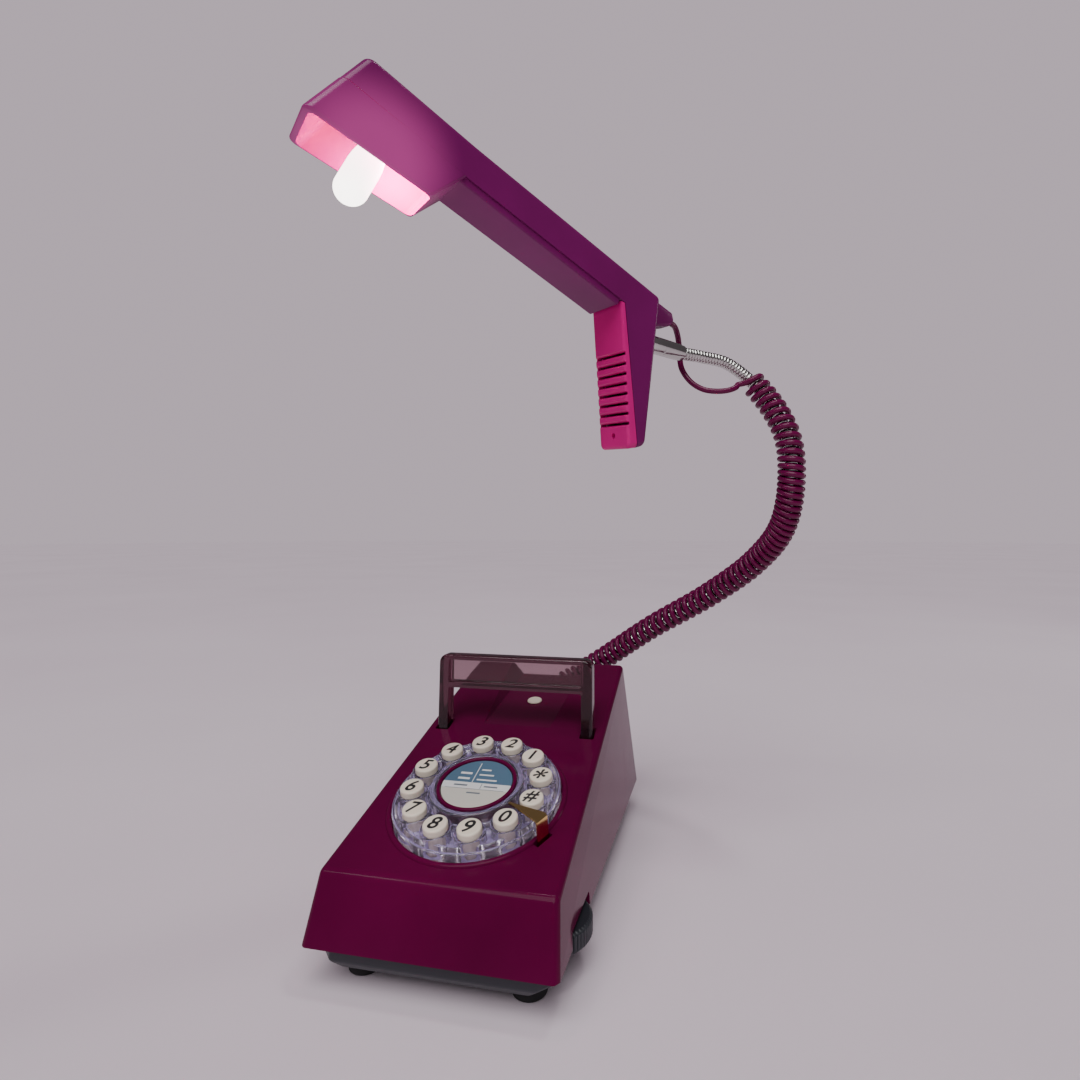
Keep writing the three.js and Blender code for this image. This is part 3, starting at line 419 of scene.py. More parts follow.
def boolean(bm, operation, *tools):
    for tool in tools:
        base, other = object_of("loose", bm), object_of("loose", tool)
        modifier = base.modifiers.new("cut", "BOOLEAN")
        modifier.operation = operation
        modifier.solver = "EXACT"
        modifier.object = other
        bm = shape_of(base)
        bpy.data.batch_remove((other, other.data))
    return bm


def cut(bm, *tools):
    return boolean(bm, "DIFFERENCE", *tools)


def united(bm, *others):
    return boolean(bm, "UNION", *others)


def finished(name, bm, look, body=None, replaces=(), matrix=Matrix(), smooth=32, weighted=True):
    """The piece as an object of the scene: placed, shaded, finished and riding on its body."""
    obj = object_of(name, moved(bm, TO_FRAME @ matrix))
    for polygon in obj.data.polygons:
        polygon.use_smooth = True
    obj.data.set_sharp_from_angle(angle=smooth * DEG)
    obj.data.materials.append(LOOKS[look])
    if weighted:
        normals = obj.modifiers.new("flat faces stay flat", "WEIGHTED_NORMAL")
        normals.keep_sharp = True
    if body:
        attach(obj, body)
    if replaces:
        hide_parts(*replaces)
    return obj


DECK = Matrix.Translation((0, 0, FRONT_TOP_Z)) @ Matrix.Rotation(DECK_SLOPE, 4, "X")
DIAL = DECK @ Matrix.Translation((0, DIAL_CENTRE, 0))
REAR_LEAN = math.atan2(REAR_BOTTOM_Y - REAR_TOP_Y, REAR_TOP_Z - COVER_BOTTOM_Z)


def rear_seat(x, z):
    """The place on the rear wall at that height, its Z axis pointing out of the wall."""
    y = REAR_TOP_Y + (REAR_TOP_Z - z) * math.tan(REAR_LEAN)
    return Matrix.Translation((x, y, z)) @ Matrix.Rotation(REAR_LEAN - math.pi / 2, 4, "X")


# ---- curves ----
def catmull(points, per_span=24):
    """The centripetal Catmull-Rom curve through the points, as a fine polyline."""
    knots = [2 * points[0] - points[1], *points, 2 * points[-1] - points[-2]]
    line = []
    for i in range(1, len(knots) - 2):
        p0, p1, p2, p3 = knots[i - 1:i + 3]
        d0, d1, d2 = (math.sqrt((b - a).length) for a, b in ((p0, p1), (p1, p2), (p2, p3)))
        t1 = ((p1 - p0) / d0 - (p2 - p0) / (d0 + d1) + (p2 - p1) / d1) * d1
        t2 = ((p2 - p1) / d1 - (p3 - p1) / (d1 + d2) + (p3 - p2) / d2) * d1
        for k in range(per_span):
            s = k / per_span
            line.append((2 * s ** 3 - 3 * s ** 2 + 1) * p1 + (s ** 3 - 2 * s ** 2 + s) * t1
                        + (3 * s ** 2 - 2 * s ** 3) * p2 + (s ** 3 - s ** 2) * t2)
    line.append(points[-1].copy())
    return line


class Along:
    """A polyline read by distance, with a frame that doesn't twist."""

    def __init__(self, line):
        self.line = line
        self.marks = [0.0]
        for a, b in zip(line, line[1:]):
            self.marks.append(self.marks[-1] + (b - a).length)
        self.length = self.marks[-1]
        self.sides = []
        side = Vector((1, 0, 0))
        for i in range(len(line)):
            tangent = self.tangent_at(i)
            side = (side - tangent * side.dot(tangent)).normalized()
            self.sides.append(side)

    def tangent_at(self, i):
        return (self.line[min(i + 1, len(self.line) - 1)] - self.line[max(i - 1, 0)]).normalized()

    def read(self, distance):
        """(point, tangent, side, other side) at that distance."""
        distance = min(max(distance, 0), self.length)
        low = min(bisect_right(self.marks, distance), len(self.marks) - 1) - 1
        high = low + 1
        part = (distance - self.marks[low]) / (self.marks[high] - self.marks[low])
        point = self.line[low].lerp(self.line[high], part)
        tangent = self.tangent_at(low).lerp(self.tangent_at(high), part).normalized()
        side = self.sides[low].lerp(self.sides[high], part)
        side = (side - tangent * side.dot(tangent)).normalized()
        return point, tangent, side, tangent.cross(side)


def tube(line, radius, sides=10, radius_at=None):
    """A closed round tube along the line; radius_at(distance, angle) can shape it."""
    path = Along(line)
    rings = []
    for i, mark in enumerate(path.marks):
        side = path.sides[i]
        other = path.tangent_at(i).cross(side)
        ring = []
        for k in range(sides):
            angle = 2 * math.pi * k / sides
            r = radius_at(mark, angle) if radius_at else radius
            ring.append(line[i] + (side * math.cos(angle) + other * math.sin(angle)) * r)
        rings.append(ring)
    return skinned(rings)


# ---- the flexible neck and the cord, along the same route as in the CAD part ----
NECK_ROUTE = [
    (0, 188.2, 71), (0.8, 193, 72.8), (11, 200.5, 78.5), (31, 202, 91), (63, 190, 113), (102, 171, 137),
    (130, 150, 159), (144.5, 133, 179), (149.5, 123, 205), (148, 124.5, 230), (135, 130.5, 256),
    (117.3, 128.8, 272.6), (103, 121, 275.6), (92.3, 112.5, 276.2), (88.2, 108.2, 276.7),
]
LEAD_ROUTE = [
    (0, 180, 48.82), (0, 183.8, 50), (0, 187.6, 51.2), (0.2, 191.8, 53.2), (0.9, 195.4, 56.8),
    (1.7, 197.3, 61), (2.1, 197.5, 64.8),
]
LOOP_ROUTE = [
    (-20.4, -0.8, -0.6), (-25.5, -3, -2), (-32.8, -7, -0.7), (-37.9, -9, 3.4), (-41.1, -9, 8.9),
    (-44, -7, 14.9), (-49.6, -2, 20.8), (-55.6, 3, 22.6), (-60.5, 8, 21.6), (-65.4, 12.2, 18.6),
    (-69.2, 13.4, 14.2), (-69.9, 12.5, 10.9),
]
PIVOTS = [17, 104, 190, 268]
COIL_START = 5
COIL_END = 299
COIL_SPLITS = [60.5, 147, 229]
WIND_EASE = 5
PITCHES = [(0, 4.6), (50, 5.0), (80, 5.6), (150, 5.15), (183, 4.45), (200, 3.5), (235, 3.5), (255, 4.85),
           (400, 5.0)]
CORD_STEP = 1.7
HOSE_STEP = 0.2
HOSE_PITCH = 1.95
HOSE_RIB = 0.55

HANDSET_ALONG = Vector((-0.617, -0.676, 0.403))
HANDSET_SIDE = Vector((0.718, -0.693, -0.064))
HANDSET_OUT = Vector((0.322, 0.25, 0.913))
ARM_HALF = 13.5
HANDSET_ORIGIN = Vector((83.6, 81.9, 299.1)) - HANDSET_SIDE * ARM_HALF


def handset_matrix():
    along = HANDSET_ALONG.normalized()
    out = (HANDSET_OUT - along * HANDSET_OUT.dot(along)).normalized()
    side = out.cross(along)
    turn = Matrix((along, side, out)).transposed().to_4x4()
    return Matrix.Translation(HANDSET_ORIGIN) @ turn


HANDSET = handset_matrix()
neck = Along(catmull([Vector(p) for p in NECK_ROUTE], 40))


def pitch_at(distance):
    """How far apart the turns stand: stretched low down and over the top, close together up the bend."""
    spans = zip(PITCHES, PITCHES[1:])
    (a, low), (b, high) = next(span for span in spans if distance <= span[1][0])
    return low + (high - low) * (distance - a) / (b - a)


def coil_phase(start_phase, steps_per_mm=8):
    """Angle of the left-handed winding at each small step, easing in and out at the ends."""
    marks, phase = [], start_phase
    for i in range((COIL_END - COIL_START) * steps_per_mm + 1):
        d = COIL_START + i / steps_per_mm
        ease = min(1, (d - COIL_START) / WIND_EASE, (COIL_END - d) / WIND_EASE + 0.02)
        marks.append((d, phase))
        phase -= 2 * math.pi / pitch_at(d) * ease / steps_per_mm
    return marks


def angle_towards(distance, point):
    centre, _, side, other = neck.read(distance)
    away = point - centre
    return math.atan2(away.dot(other), away.dot(side))


def cord_turns(start, wanted):
    """The turns round the neck, from one angle at their start to the wanted one at their end."""
    marks = coil_phase(start)
    # a touch more or less turn brings the last turn to where the loop leaves
    missing = (marks[-1][1] - wanted) % (2 * math.pi)
    turns = []
    for k, (d, phase) in enumerate(marks):
        phase -= missing * k / (len(marks) - 1)
        centre, _, side, other = neck.read(d)
        turns.append(centre + (side * math.cos(phase) + other * math.sin(phase)) * TURN_R)
    return thinned(turns, CORD_STEP)


def thinned(line, step):
    """The same line with a point about every `step` millimetres."""
    path = Along(line)
    count = max(2, round(path.length / step))
    return [path.read(path.length * i / count)[0] for i in range(count + 1)]


def softened(line, rounds=6):
    """The line with its corners relaxed; its ends stay."""
    points = [p.copy() for p in line]
    for _ in range(rounds):
        points = [points[0]] + [points[i] * 0.5 + (points[i - 1] + points[i + 1]) * 0.25
                                for i in range(1, len(points) - 1)] + [points[-1]]
    return points


def nearest_mark(point):
    best = min(range(0, len(neck.line), 4), key=lambda i: (neck.line[i] - point).length_squared)
    return neck.marks[best]


def bending_piece(name, index, shape, look, replaced):
    """A stretch of the neck or of the cord in place of its CAD pieces, its placing baked into the mesh."""
    piece = finished(name, shape, look, replaces=replaced, smooth=60, weighted=False)
    point, tangent, _, _ = neck.read(PIVOTS[index])
    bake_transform(piece)
    return piece


def joined_cord():
    """Lead, turns and loop as one line without corners, and the number of a point on its first turn."""
    lead = catmull([Vector(p) for p in LEAD_ROUTE], 8)
    loop = catmull([HANDSET @ Vector((u, n, -w)) for u, n, w in LOOP_ROUTE], 10)[::-1]
    turns = cord_turns(angle_towards(COIL_START, lead[-1]), angle_towards(COIL_END, loop[0]))
    lead, loop = lead[:-4], loop[3:]
    low_corner = softened(lead[-6:] + turns[:8])
    high_corner = softened(turns[-8:] + loop[:6])
    return lead[:-6] + low_corner + turns[8:-8] + high_corner + loop[6:], len(lead) + 2


def make_cords():
    line, index = joined_cord()
    cuts = [0]
    for split in COIL_SPLITS:
        while nearest_mark(line[index]) < split:
            index += 1
        cuts.append(index)
    cuts.append(len(line) - 1)
    replaced = [("cord_lead", "cord_coil_0", "cord_coil_1"), ("cord_coil_2",), ("cord_coil_3",),
                ("cord_coil_4", "cord_loop")]
    for i, (first, last) in enumerate(zip(cuts, cuts[1:])):
        path = line[first:last + 1]
        piece = bending_piece(f"curly_cord_{i + 1}", i, tube(path, CORD_R), "cord",
                              replaced[i])


def make_hoses():
    """The chrome hose: a wound strip, seen as fine ribs that run round it in a screw."""
    replaced = [("neck_hose_0", "neck_hose_1"), ("neck_hose_2",), ("neck_hose_3",), ("neck_hose_4",)]
    splits = [0, *COIL_SPLITS, neck.length]
    for i, (first, last) in enumerate(zip(splits, splits[1:])):
        count = int((last - first) / HOSE_STEP)
        line = [neck.read(first + (last - first) * k / count)[0] for k in range(count + 1)]

        def ribbed(mark, angle, first=first):
            across = 2 * (((first + mark) / HOSE_PITCH - angle / (2 * math.pi)) % 1) - 1
            return HOSE_R - HOSE_RIB + HOSE_RIB * math.sqrt(max(0.02, 1 - across * across))

        bending_piece(f"neck_hose_{i + 1}", i, tube(line, HOSE_R, 20, ribbed), "chrome",
                      replaced[i])


make_cords()
make_hoses()


# ---- base ----
def wedge(inset=0.0, lower=0.0):
    """The cover's wedge, its faces moved inwards by `inset` and its bottom down by `lower`."""
    bottom = COVER_BOTTOM_Z - lower
    corners = [
        (FRONT_TOP_HALF - inset, inset, FRONT_TOP_Z - inset),
        (FRONT_BOTTOM_HALF - inset, FRONT_BOTTOM_Y + inset, bottom),
        (REAR_TOP_HALF - inset, REAR_TOP_Y - inset, REAR_TOP_Z - inset),
        (REAR_BOTTOM_HALF - inset, REAR_BOTTOM_Y - inset, bottom),
    ]
    return hull([(side * x, y, z) for x, y, z in corners for side in (-1, 1)])


def channel():
    """The space over the floor of the handset's rest, between walls that lean outwards."""
    far = DECK_LENGTH + 40
    drop = DECK_SLOPE - CHANNEL_FLOOR_SLOPE
    sink = (far - CHANNEL_START) * math.tan(drop)
    flare = CHANNEL_FLARE * (far - CHANNEL_START) / (DECK_LENGTH - CHANNEL_START)
    points = []
    for side in (-1, 1):
        points += [(side * CHANNEL_HALF, CHANNEL_START, 0), (side * CHANNEL_HALF, far, -sink),
                   (side * (CHANNEL_HALF + 2), CHANNEL_START, 12),
                   (side * (CHANNEL_HALF + flare + 6), far, 12)]
    return moved(hull(points), DECK)


def key_place(index):
    angle = BUTTON_START + index * 30 * DEG
    return BUTTON_CIRCLE_R * math.sin(angle), BUTTON_CIRCLE_R * math.cos(angle)


LARGEST_SMOOTH_FACE = 300
STOP_ANGLE = -29.5 * DEG
STOP_FOOT_R = 41.6


def make_cover():
    body = cut(wedge(), channel())
    body = bevelled(body, 2.4, 5, lambda m, e: m.z > COVER_BOTTOM_Z + 1 and (abs(m.x) > 40 or m.y < 5
                                                                            or m.y > REAR_TOP_Y - 1
                                                                            and abs(m.x) > 26))
    body = bevelled(body, 0.9, 3, lambda m, e: m.z > COVER_BOTTOM_Z + 1 and abs(m.x) < 30 and m.y > 90, 6)
    inside = wedge(COVER_WALL, 6)
    inside = cut(inside, moved(channel(), Matrix.Translation((0, 0, -2.8))),
                 moved(drum(RIDGE_R + 1, -WELL_DEPTH - 2.6, 30), DIAL))
    ridge = lathe([(RIDGE_R - 1.6, -1.2), (RIDGE_R + 1.5, -1.2),
                   *arc(RIDGE_R - 0.2, -0.2, 1.35, 0, 180, 10)], 96)
    tools = [inside, moved(drum(BEZEL_R + 0.5, -WELL_DEPTH, 20, sides=96), DIAL)]
    for side in (-1, 1):
        inner, outer = side * (CRADLE_HALF - CRADLE_POST - CRADLE_GAP), side * (CRADLE_HALF + CRADLE_GAP)
        slot = block(inner, outer, CRADLE_Y - CRADLE_GAP, CRADLE_Y + CRADLE_DEPTH + CRADLE_GAP, 40, 120)
        tools.append(bevelled(slot, 0.8, 3))
    tools.append(moved(block(STOP_FOOT_R - 1.2, STOP_FOOT_R + 1.5, -4.4, 4.4, -30, 3),
                       DIAL @ Matrix.Rotation(STOP_ANGLE, 4, "Z")))
    notch = block(WHEEL_PLACE[0], 70, WHEEL_PLACE[1] - 16, WHEEL_PLACE[1] + 16, 5, WHEEL_TOP_Z + 2.2)
    tools.append(bevelled(notch, 2.0, 4))
    for index in range(len(BUTTON_MARKS)):
        x, y = key_place(index)
        tools.append(moved(drum(BUTTON_R - 1, -30, 1, x, y, 24), DIAL))
    for place, r in ((SOCKET_PLACE, 5.3), (GROMMET_PLACE, 3.5), (GLAND_PLACE, 4.5)):
        tools.append(moved(drum(r, -20, 20, sides=32), rear_seat(*place)))
    body = cut(united(body, moved(ridge, DIAL)), *tools)
    cover = finished("phone_cover", body, "deck", "base", ["base_cover"])
    for polygon in cover.data.polygons:
        polygon.use_smooth = polygon.area < LARGEST_SMOOTH_FACE * MM * MM


def make_plug():
    sink = (PLUG_ALONG - CHANNEL_START) * math.tan(DECK_SLOPE - CHANNEL_FLOOR_SLOPE)
    seat = DECK @ Matrix.Translation((1, PLUG_ALONG, -sink))
    seat = Matrix.Translation(seat.translation) @ Matrix.Rotation(CHANNEL_FLOOR_SLOPE, 4, "X")
    cap = lathe([(0, -4), (1.9, -4), (1.9, 0.3), (4.2, 0.3), *arc(3.3, 0.35, 0.9, 0, 90), (0, 1.35)], 48)
    finished("floor_plug", cap, "cream", "base", ["channel_plug"], seat)


def make_base_plate():
    half, y0, y1, bevel = 47, -2.5, 189, 4
    points = []
    for z, inset in ((FOOT_H, bevel), (FOOT_H + bevel, 0), (16.6, 0)):
        for x, dy in ((half - inset - 5, 0), (half - inset, 5)):
            for side in (-1, 1):
                points += [(side * x, y0 + inset + dy, z), (side * x, y1 - inset - dy, z)]
    body = bevelled(hull(points), 0.8, 3)
    room = block(-half + 3, half - 3, y0 + 3, y1 - 3, FOOT_H + 3, 30)
    wheel_room = drum(WHEEL_R + 1, WHEEL_BOTTOM_Z - 0.8, 30, *WHEEL_PLACE)
    holes = [drum(2.4, 0, 20, x, y, 24) for x, y in ((-28, 40), (28, 160))]
    finished("bottom_plate", cut(body, room, wheel_room, *holes), "black", "base",
             ["base_plate"])


def make_feet():
    for name, x, y in (("front_left", -35, 14), ("front_right", 35, 14), ("rear_left", -35, 172),
                       ("rear_right", 35, 172)):
        foot = lathe([(0, 0.5), (2.4, 0.5), (2.8, 0), *arc(FOOT_R - 1.2, 1.2, 1.2, -90, 0),
                      (FOOT_R - 0.1, 3), (FOOT_R, 3.4), (FOOT_R, FOOT_H - 0.4), (0, FOOT_H - 0.4)], 48)
        finished(f"rubber_foot_{name}", foot, "rubber", "base", [f"foot_{name}"],
                 Matrix.Translation((x, y, 0)))


def make_wheel():
    """The knurled thumbwheel, each tooth a rounded rib."""
    teeth, per_tooth = 64, 6
    sides = teeth * per_tooth
    levels = [(WHEEL_BOTTOM_Z, WHEEL_R - 1.4, 0), (WHEEL_BOTTOM_Z + 0.5, WHEEL_R - 0.5, 0.6),
              (WHEEL_BOTTOM_Z + 1.2, WHEEL_R, 0.7), (WHEEL_TOP_Z - 1.2, WHEEL_R, 0.7),
              (WHEEL_TOP_Z - 0.5, WHEEL_R - 0.5, 0.6), (WHEEL_TOP_Z, WHEEL_R - 1.4, 0)]
    rings = []
    for z, r, depth in levels:
        ring = []
        for i in range(sides):
            angle = 2 * math.pi * i / sides
            dip = depth * (1 - abs(math.sin(math.pi * i / per_tooth))) ** 2
            ring.append(((r - dip) * math.cos(angle), (r - dip) * math.sin(angle), z))
        rings.append(ring)
    wheel = cut(skinned(rings), drum(3.7, 0, 40))
    finished("thumbwheel", wheel, "black", "wheel", ["volume_wheel"],
             Matrix.Translation((*WHEEL_PLACE, 0)))


make_cover()
make_plug()
make_base_plate()
make_feet()
make_wheel()


# ---- dial ----
DIAL_PLATE_TOP = -WELL_DEPTH + 1.4
BEZEL_FLOOR = DIAL_PLATE_TOP + GAP


def make_bezel():
    """The clear ring: a double rim outside, a clear collar round each key."""
    r = BEZEL_R
    profile = [
        (BEZEL_INNER_R, BEZEL_FLOOR), (r, BEZEL_FLOOR), (r, 2.9), *arc(r - 0.8, 2.9, 0.8, 0, 180, 8),
        (r - 2.2, 2.0), *arc(r - 3.3, BEZEL_TOP - 0.8, 0.8, 0, 180, 8), (r - 4.5, 3.0), (r - 5.5, 2.6),
        (BEZEL_INNER_R + 3.4, 2.6), (BEZEL_INNER_R + 2.4, 3.0),
        *arc(BEZEL_INNER_R + 1.1, BEZEL_TOP - 0.8, 0.8, 0, 180, 8), (BEZEL_INNER_R, 3.6),
    ]
    outer, bore = BUTTON_R + 1.5, BUTTON_R + 0.7
    collar_profile = [(0, 0.4), (outer, 0.4), *arc(outer - 0.6, COLLAR_TOP - 0.6, 0.6, 0, 90),
                      (0, COLLAR_TOP)]
    bore_profile = [(0, -10), (bore, -10), (bore, COLLAR_TOP - 0.3), (bore + 0.35, COLLAR_TOP + 0.2),
                    (bore + 0.35, 12), (0, 12)]
    places = [Matrix.Translation((*key_place(index), 0)) for index in range(len(BUTTON_MARKS))]
    collars = merged(*(moved(lathe(collar_profile, 48), place) for place in places))
    bores = merged(*(moved(lathe(bore_profile, 48), place) for place in places))
    ring = cut(united(lathe(profile, 128), collars), bores)
    finished("clear_dial_ring", ring, "clear", "base", ["dial_bezel"], DIAL)


def ring_between(inner, outer, top, round_r, sides=96):
    profile = [(inner, BEZEL_FLOOR), (outer, BEZEL_FLOOR),
               *arc(outer - round_r, top - round_r, round_r, 0, 90),
               *arc(inner + round_r, top - round_r, round_r, 90, 180)]
    return lathe(profile, sides)


def make_hub():
    finished("clear_hub_ring", ring_between(HUB_R, BEZEL_INNER_R - GAP, HUB_TOP, 0.9), "clear",
             "base", ["hub_ring"], DIAL)
    finished("plum_label_ring", ring_between(LABEL_R, HUB_R - GAP, HUB_TOP + 0.4, 0.8), "deck",
             "base", ["label_ring"], DIAL)


CARD_R = LABEL_R - GAP
CARD_TOP = HUB_TOP - 0.6
BLUE_EDGE = 0.3
BAND_EDGE = -3.9


def make_label():
    """The round card: blue above, a pale band, cream below, with blank rules where wording would be."""
    bm = lathe([(0, BEZEL_FLOOR), (CARD_R, BEZEL_FLOOR), (CARD_R, CARD_TOP), (0, CARD_TOP)], 96)
    for edge in (BLUE_EDGE, BAND_EDGE):
        geometry = bm.verts[:] + bm.edges[:] + bm.faces[:]
        bmesh.ops.bisect_plane(bm, geom=geometry, plane_co=(0, edge, 0), plane_no=(0, 1, 0))
    card = finished("label_disc", bm, "blue_card", "base", ["label_card"], DIAL)
    card.data.materials.append(LOOKS["white_card"])
    card.data.materials.append(LOOKS["cream_card"])
    back = (TO_FRAME @ DIAL).inverted()
    for polygon in card.data.polygons:
        y = (back @ polygon.center).y
        polygon.material_index = 0 if y > BLUE_EDGE else (1 if y > BAND_EDGE else 2)


def rules(name, look, boxes):
    """Thin printed bars on the card: (x, y, width, height) each."""
    parts = [block(x - w / 2, x + w / 2, y - h / 2, y + h / 2, CARD_TOP - 0.05, CARD_TOP + 0.04)
             for x, y, w, h in boxes]
    finished(name, merged(*parts), look, "base", matrix=DIAL, weighted=False)


def make_print():
    rules("label_marks_white", "white_ink", [
        (-2.6, 7.2, 0.35, 13.4), (1.4, 9.4, 4.6, 0.9), (2.6, 5.9, 7.0, 0.9), (3.8, 2.5, 9.6, 0.9),
        (-7.4, 6.4, 5.6, 1.3), (-7.4, 2.8, 5.6, 1.3)])
    rules("label_marks_grey", "grey_ink", [
        (-7.2, -1.8, 6.4, 1.0), (2.6, -1.8, 0.3, 3.4), (7.2, -1.8, 6.4, 0.9), (0, BAND_EDGE, 28, 0.22),
        (0.6, -6.4, 6.4, 0.9)])


MARK_TEXT = {"star": "*", "hash": "#"}


def mark_mesh(text, size):
    data = bpy.data.curves.new("mark", "FONT")
    data.body = text
    data.size = size
    data.shear = 0.25
    data.align_x = "CENTER"
    data.bevel_depth = 0.2
    data.bevel_resolution = 1
    bm = shape_of(new_object("mark", data))
    bmesh.ops.remove_doubles(bm, verts=bm.verts, dist=0.0005)
    middle = [(min(v.co[a] for v in bm.verts) + max(v.co[a] for v in bm.verts)) / 2 for a in (0, 1)]
    return moved(bm, Matrix.Diagonal((1, 1, 0.3, 1)) @ Matrix.Translation((-middle[0], -middle[1], 0)))


def make_keys():
    foot, stem = -WELL_DEPTH - 4.2, BUTTON_R - 1.7
    profile = [(0, foot), (stem, foot), (stem, CAP_BOTTOM), (BUTTON_R - 0.3, CAP_BOTTOM),
               (BUTTON_R, CAP_BOTTOM + 0.3), (BUTTON_R - 0.05, BUTTON_TOP - 1.0),
               *arc(BUTTON_R - 0.95, BUTTON_TOP - 0.9, 0.9, 0, 90, 6), (0, BUTTON_TOP)]
    for index, mark in enumerate(BUTTON_MARKS):
        x, y = key_place(index)
        place = DIAL @ Matrix.Translation((x, y, 0))
        body = f"key_body_{mark}"
        finished(f"button_{mark}", lathe(profile, 56), "cream", body, [f"key_{mark}"],
                 place)
        sign = mark_mesh(MARK_TEXT.get(mark, mark), 14 if mark == "star" else 9.4)
        finished(f"mark_{mark}", sign, "ink", body,
                 matrix=place @ Matrix.Translation((0, 0, BUTTON_TOP + 0.02)), weighted=False)


def make_finger_stop():
    """The gilt strip: a narrow tip at the hub, wider at the bend, and a leg down into its slot."""
    spine = [(BEZEL_INNER_R, 7.6, 0.5), (26, 8.15, 0.95), (31, 8.8, 1.6), (36, 9.4, 2.4), (39.6, 9.9, 3.0),
             (41.0, 9.95, 3.2), (41.75, 9.3, 3.2), (41.8, 8, 3.2), (41.8, -14, 3.2)]
    thick = 0.7
    rings = []
    for i, (r, z, half) in enumerate(spine):
        a = spine[max(i - 1, 0)]
        b = spine[min(i + 1, len(spine) - 1)]
        direction = Vector((b[0] - a[0], b[1] - a[1])).normalized()
        normal = Vector((-direction.y, direction.x)) * thick / 2
        rings.append([(r + normal.x * sign, side * half, z + normal.y * sign)
                      for sign, side in ((1, 1), (1, -1), (-1, -1), (-1, 1))])
    strip = bevelled(skinned(rings), 0.16, 2, sharper_than=50)
    finished("gilt_finger_stop", strip, "gilt", "base", ["finger_stop"],
             DIAL @ Matrix.Rotation(STOP_ANGLE, 4, "Z"))


make_bezel()
make_hub()
make_label()
make_print()
make_keys()
make_finger_stop()


# ---- cradle ----
def make_cradle():
    half, top, foot, bar, cross = CRADLE_HALF, CRADLE_TOP_Z, 52, 2.6, 94.4
    outline = [(-half, foot), (half, foot), *arc(half - 4.5, top - 4.5, 4.5, 0, 90, 8),
               *arc(-half + 4.5, top - 4.5, 4.5, 90, 180, 8)]
    ends = [[(x, CRADLE_Y + depth, z) for x, z in outline] for depth in (0, CRADLE_DEPTH)]
    body = bevelled(skinned(ends), 1.5, 5, sharper_than=40)
    inner = half - CRADLE_POST
    pane = CRADLE_Y + CRADLE_DEPTH / 2
    window = bevelled(block(-inner, inner, CRADLE_Y - 5, CRADLE_Y + 15, foot - 5, cross - bar), 1.2, 3)
    front_pocket = bevelled(block(-inner, inner, CRADLE_Y - 5, pane - PANE_HALF, cross, top - bar), 0.8, 3)
    rear_pocket = bevelled(block(-inner, inner, pane + PANE_HALF, CRADLE_Y + 15, cross, top - bar), 0.8, 3)
    cradle = finished("smoked_cradle", cut(body, window, front_pocket, rear_pocket), "smoke",
                      "cradle", ["cradle_frame"])
    cradle.data.materials.append(LOOKS["pane"])
    back = TO_FRAME.inverted()
    for polygon in cradle.data.polygons:
        middle = back @ polygon.center
        if abs(abs(middle.y - pane) - PANE_HALF) < 0.1 and cross < middle.z < top - bar:
            polygon.material_index = 1


def make_hook_spring():
    """The spring under the hook lever: five open turns between flat end turns."""
    radius, wire, turns, steps = 2.6, 0.35, 7, 20
    centre = Vector((0, CRADLE_Y + CRADLE_DEPTH / 2, 0))
    line = []
    for i in range(turns * steps + 1):
        angle = 2 * math.pi * i / steps
        part = min(max((i / steps - 0.9) / (turns - 1.8), 0), 1)
        rise = SPRING_LOW_Z + wire + (SPRING_TOP_Z - SPRING_LOW_Z - 2 * wire) * part
        line.append(centre + Vector((radius * math.cos(angle), radius * math.sin(angle), rise)))
    spring = finished("coil_hook_spring", tube(line, wire, 8), "steel", "base",
                      ["hook_spring"], smooth=60, weighted=False)
    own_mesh(spring)


make_cradle()
make_hook_spring()


# ---- fittings on the rear wall ----
def make_rear_fittings():
    socket = lathe([(0, -8), (5, -8), (5, GAP), (9.5, GAP), (9.5, 1.6), *arc(8.6, 2.1, 0.9, 0, 90),
                    (7.4, 3.3), (6.6, 4.2), (5.9, 6.0), (5.6, 9.0), (5.2, 9.5), (0, 9.5)], 64)
    finished("chrome_neck_socket", socket, "chrome", "base", ["neck_socket"],
             rear_seat(*SOCKET_PLACE))
    grommet = lathe([(2.0, -5.2), (4, -5.2), (4, -4), (3.2, -4), (3.2, GAP), (4.4, GAP),
                     *arc(3.6, 1.0, 0.8, 0, 90), (2.35, 2), (2.0, 1.7)], 40)
    finished("rubber_cord_grommet", grommet, "rubber", "base", ["cord_grommet"],
             rear_seat(*GROMMET_PLACE))
    gland = lathe([(1.9, -5.2), (5.2, -5.2), (5.2, -4), (4.2, -4), (4.2, GAP), (6, GAP), (5.9, 1.8),
                   (5.2, 2.8), (4.2, 3.4), (3.5, 6), (1.9, 6)], 40)
    finished("rubber_mains_gland", gland, "rubber", "base", ["mains_gland"],
             rear_seat(*GLAND_PLACE))


make_rear_fittings()


# ---- handset: (along, side, -depth) in its own axes ----
SEAM = 16
SEAM_GAP = 0.06
LEG_BACK = (-25.7, 75.2)
LEG_FRONT = (-16.6, 81.8)
LEG_SEAM = (-21.5, 78.6)
MOUTH_TOP = (18.7, 16.4)


def prism(outline, side_faces):
    """A closed body from a side outline of (along, depth, half width) and the faces of its sides."""
    points = [(u, half, -w) for u, w, half in outline] + [(u, -half, -w) for u, w, half in outline]
    count = len(outline)
    faces = side_faces + [tuple(i + count for i in reversed(face)) for face in side_faces]
    faces += [(i, i + count, (i + 1) % count + count, (i + 1) % count) for i in range(count)]
    return mesh_of(points, faces)


def slab(corners):
    """A convex body over corners given as (along, depth, half width)."""
    return hull([(u, s * half, -w) for u, w, half in corners for s in (-1, 1)])


def on_handset(name, bm, look, replaced, place=Matrix()):
    return finished(name, bm, look, "handset", [replaced], HANDSET @ place)


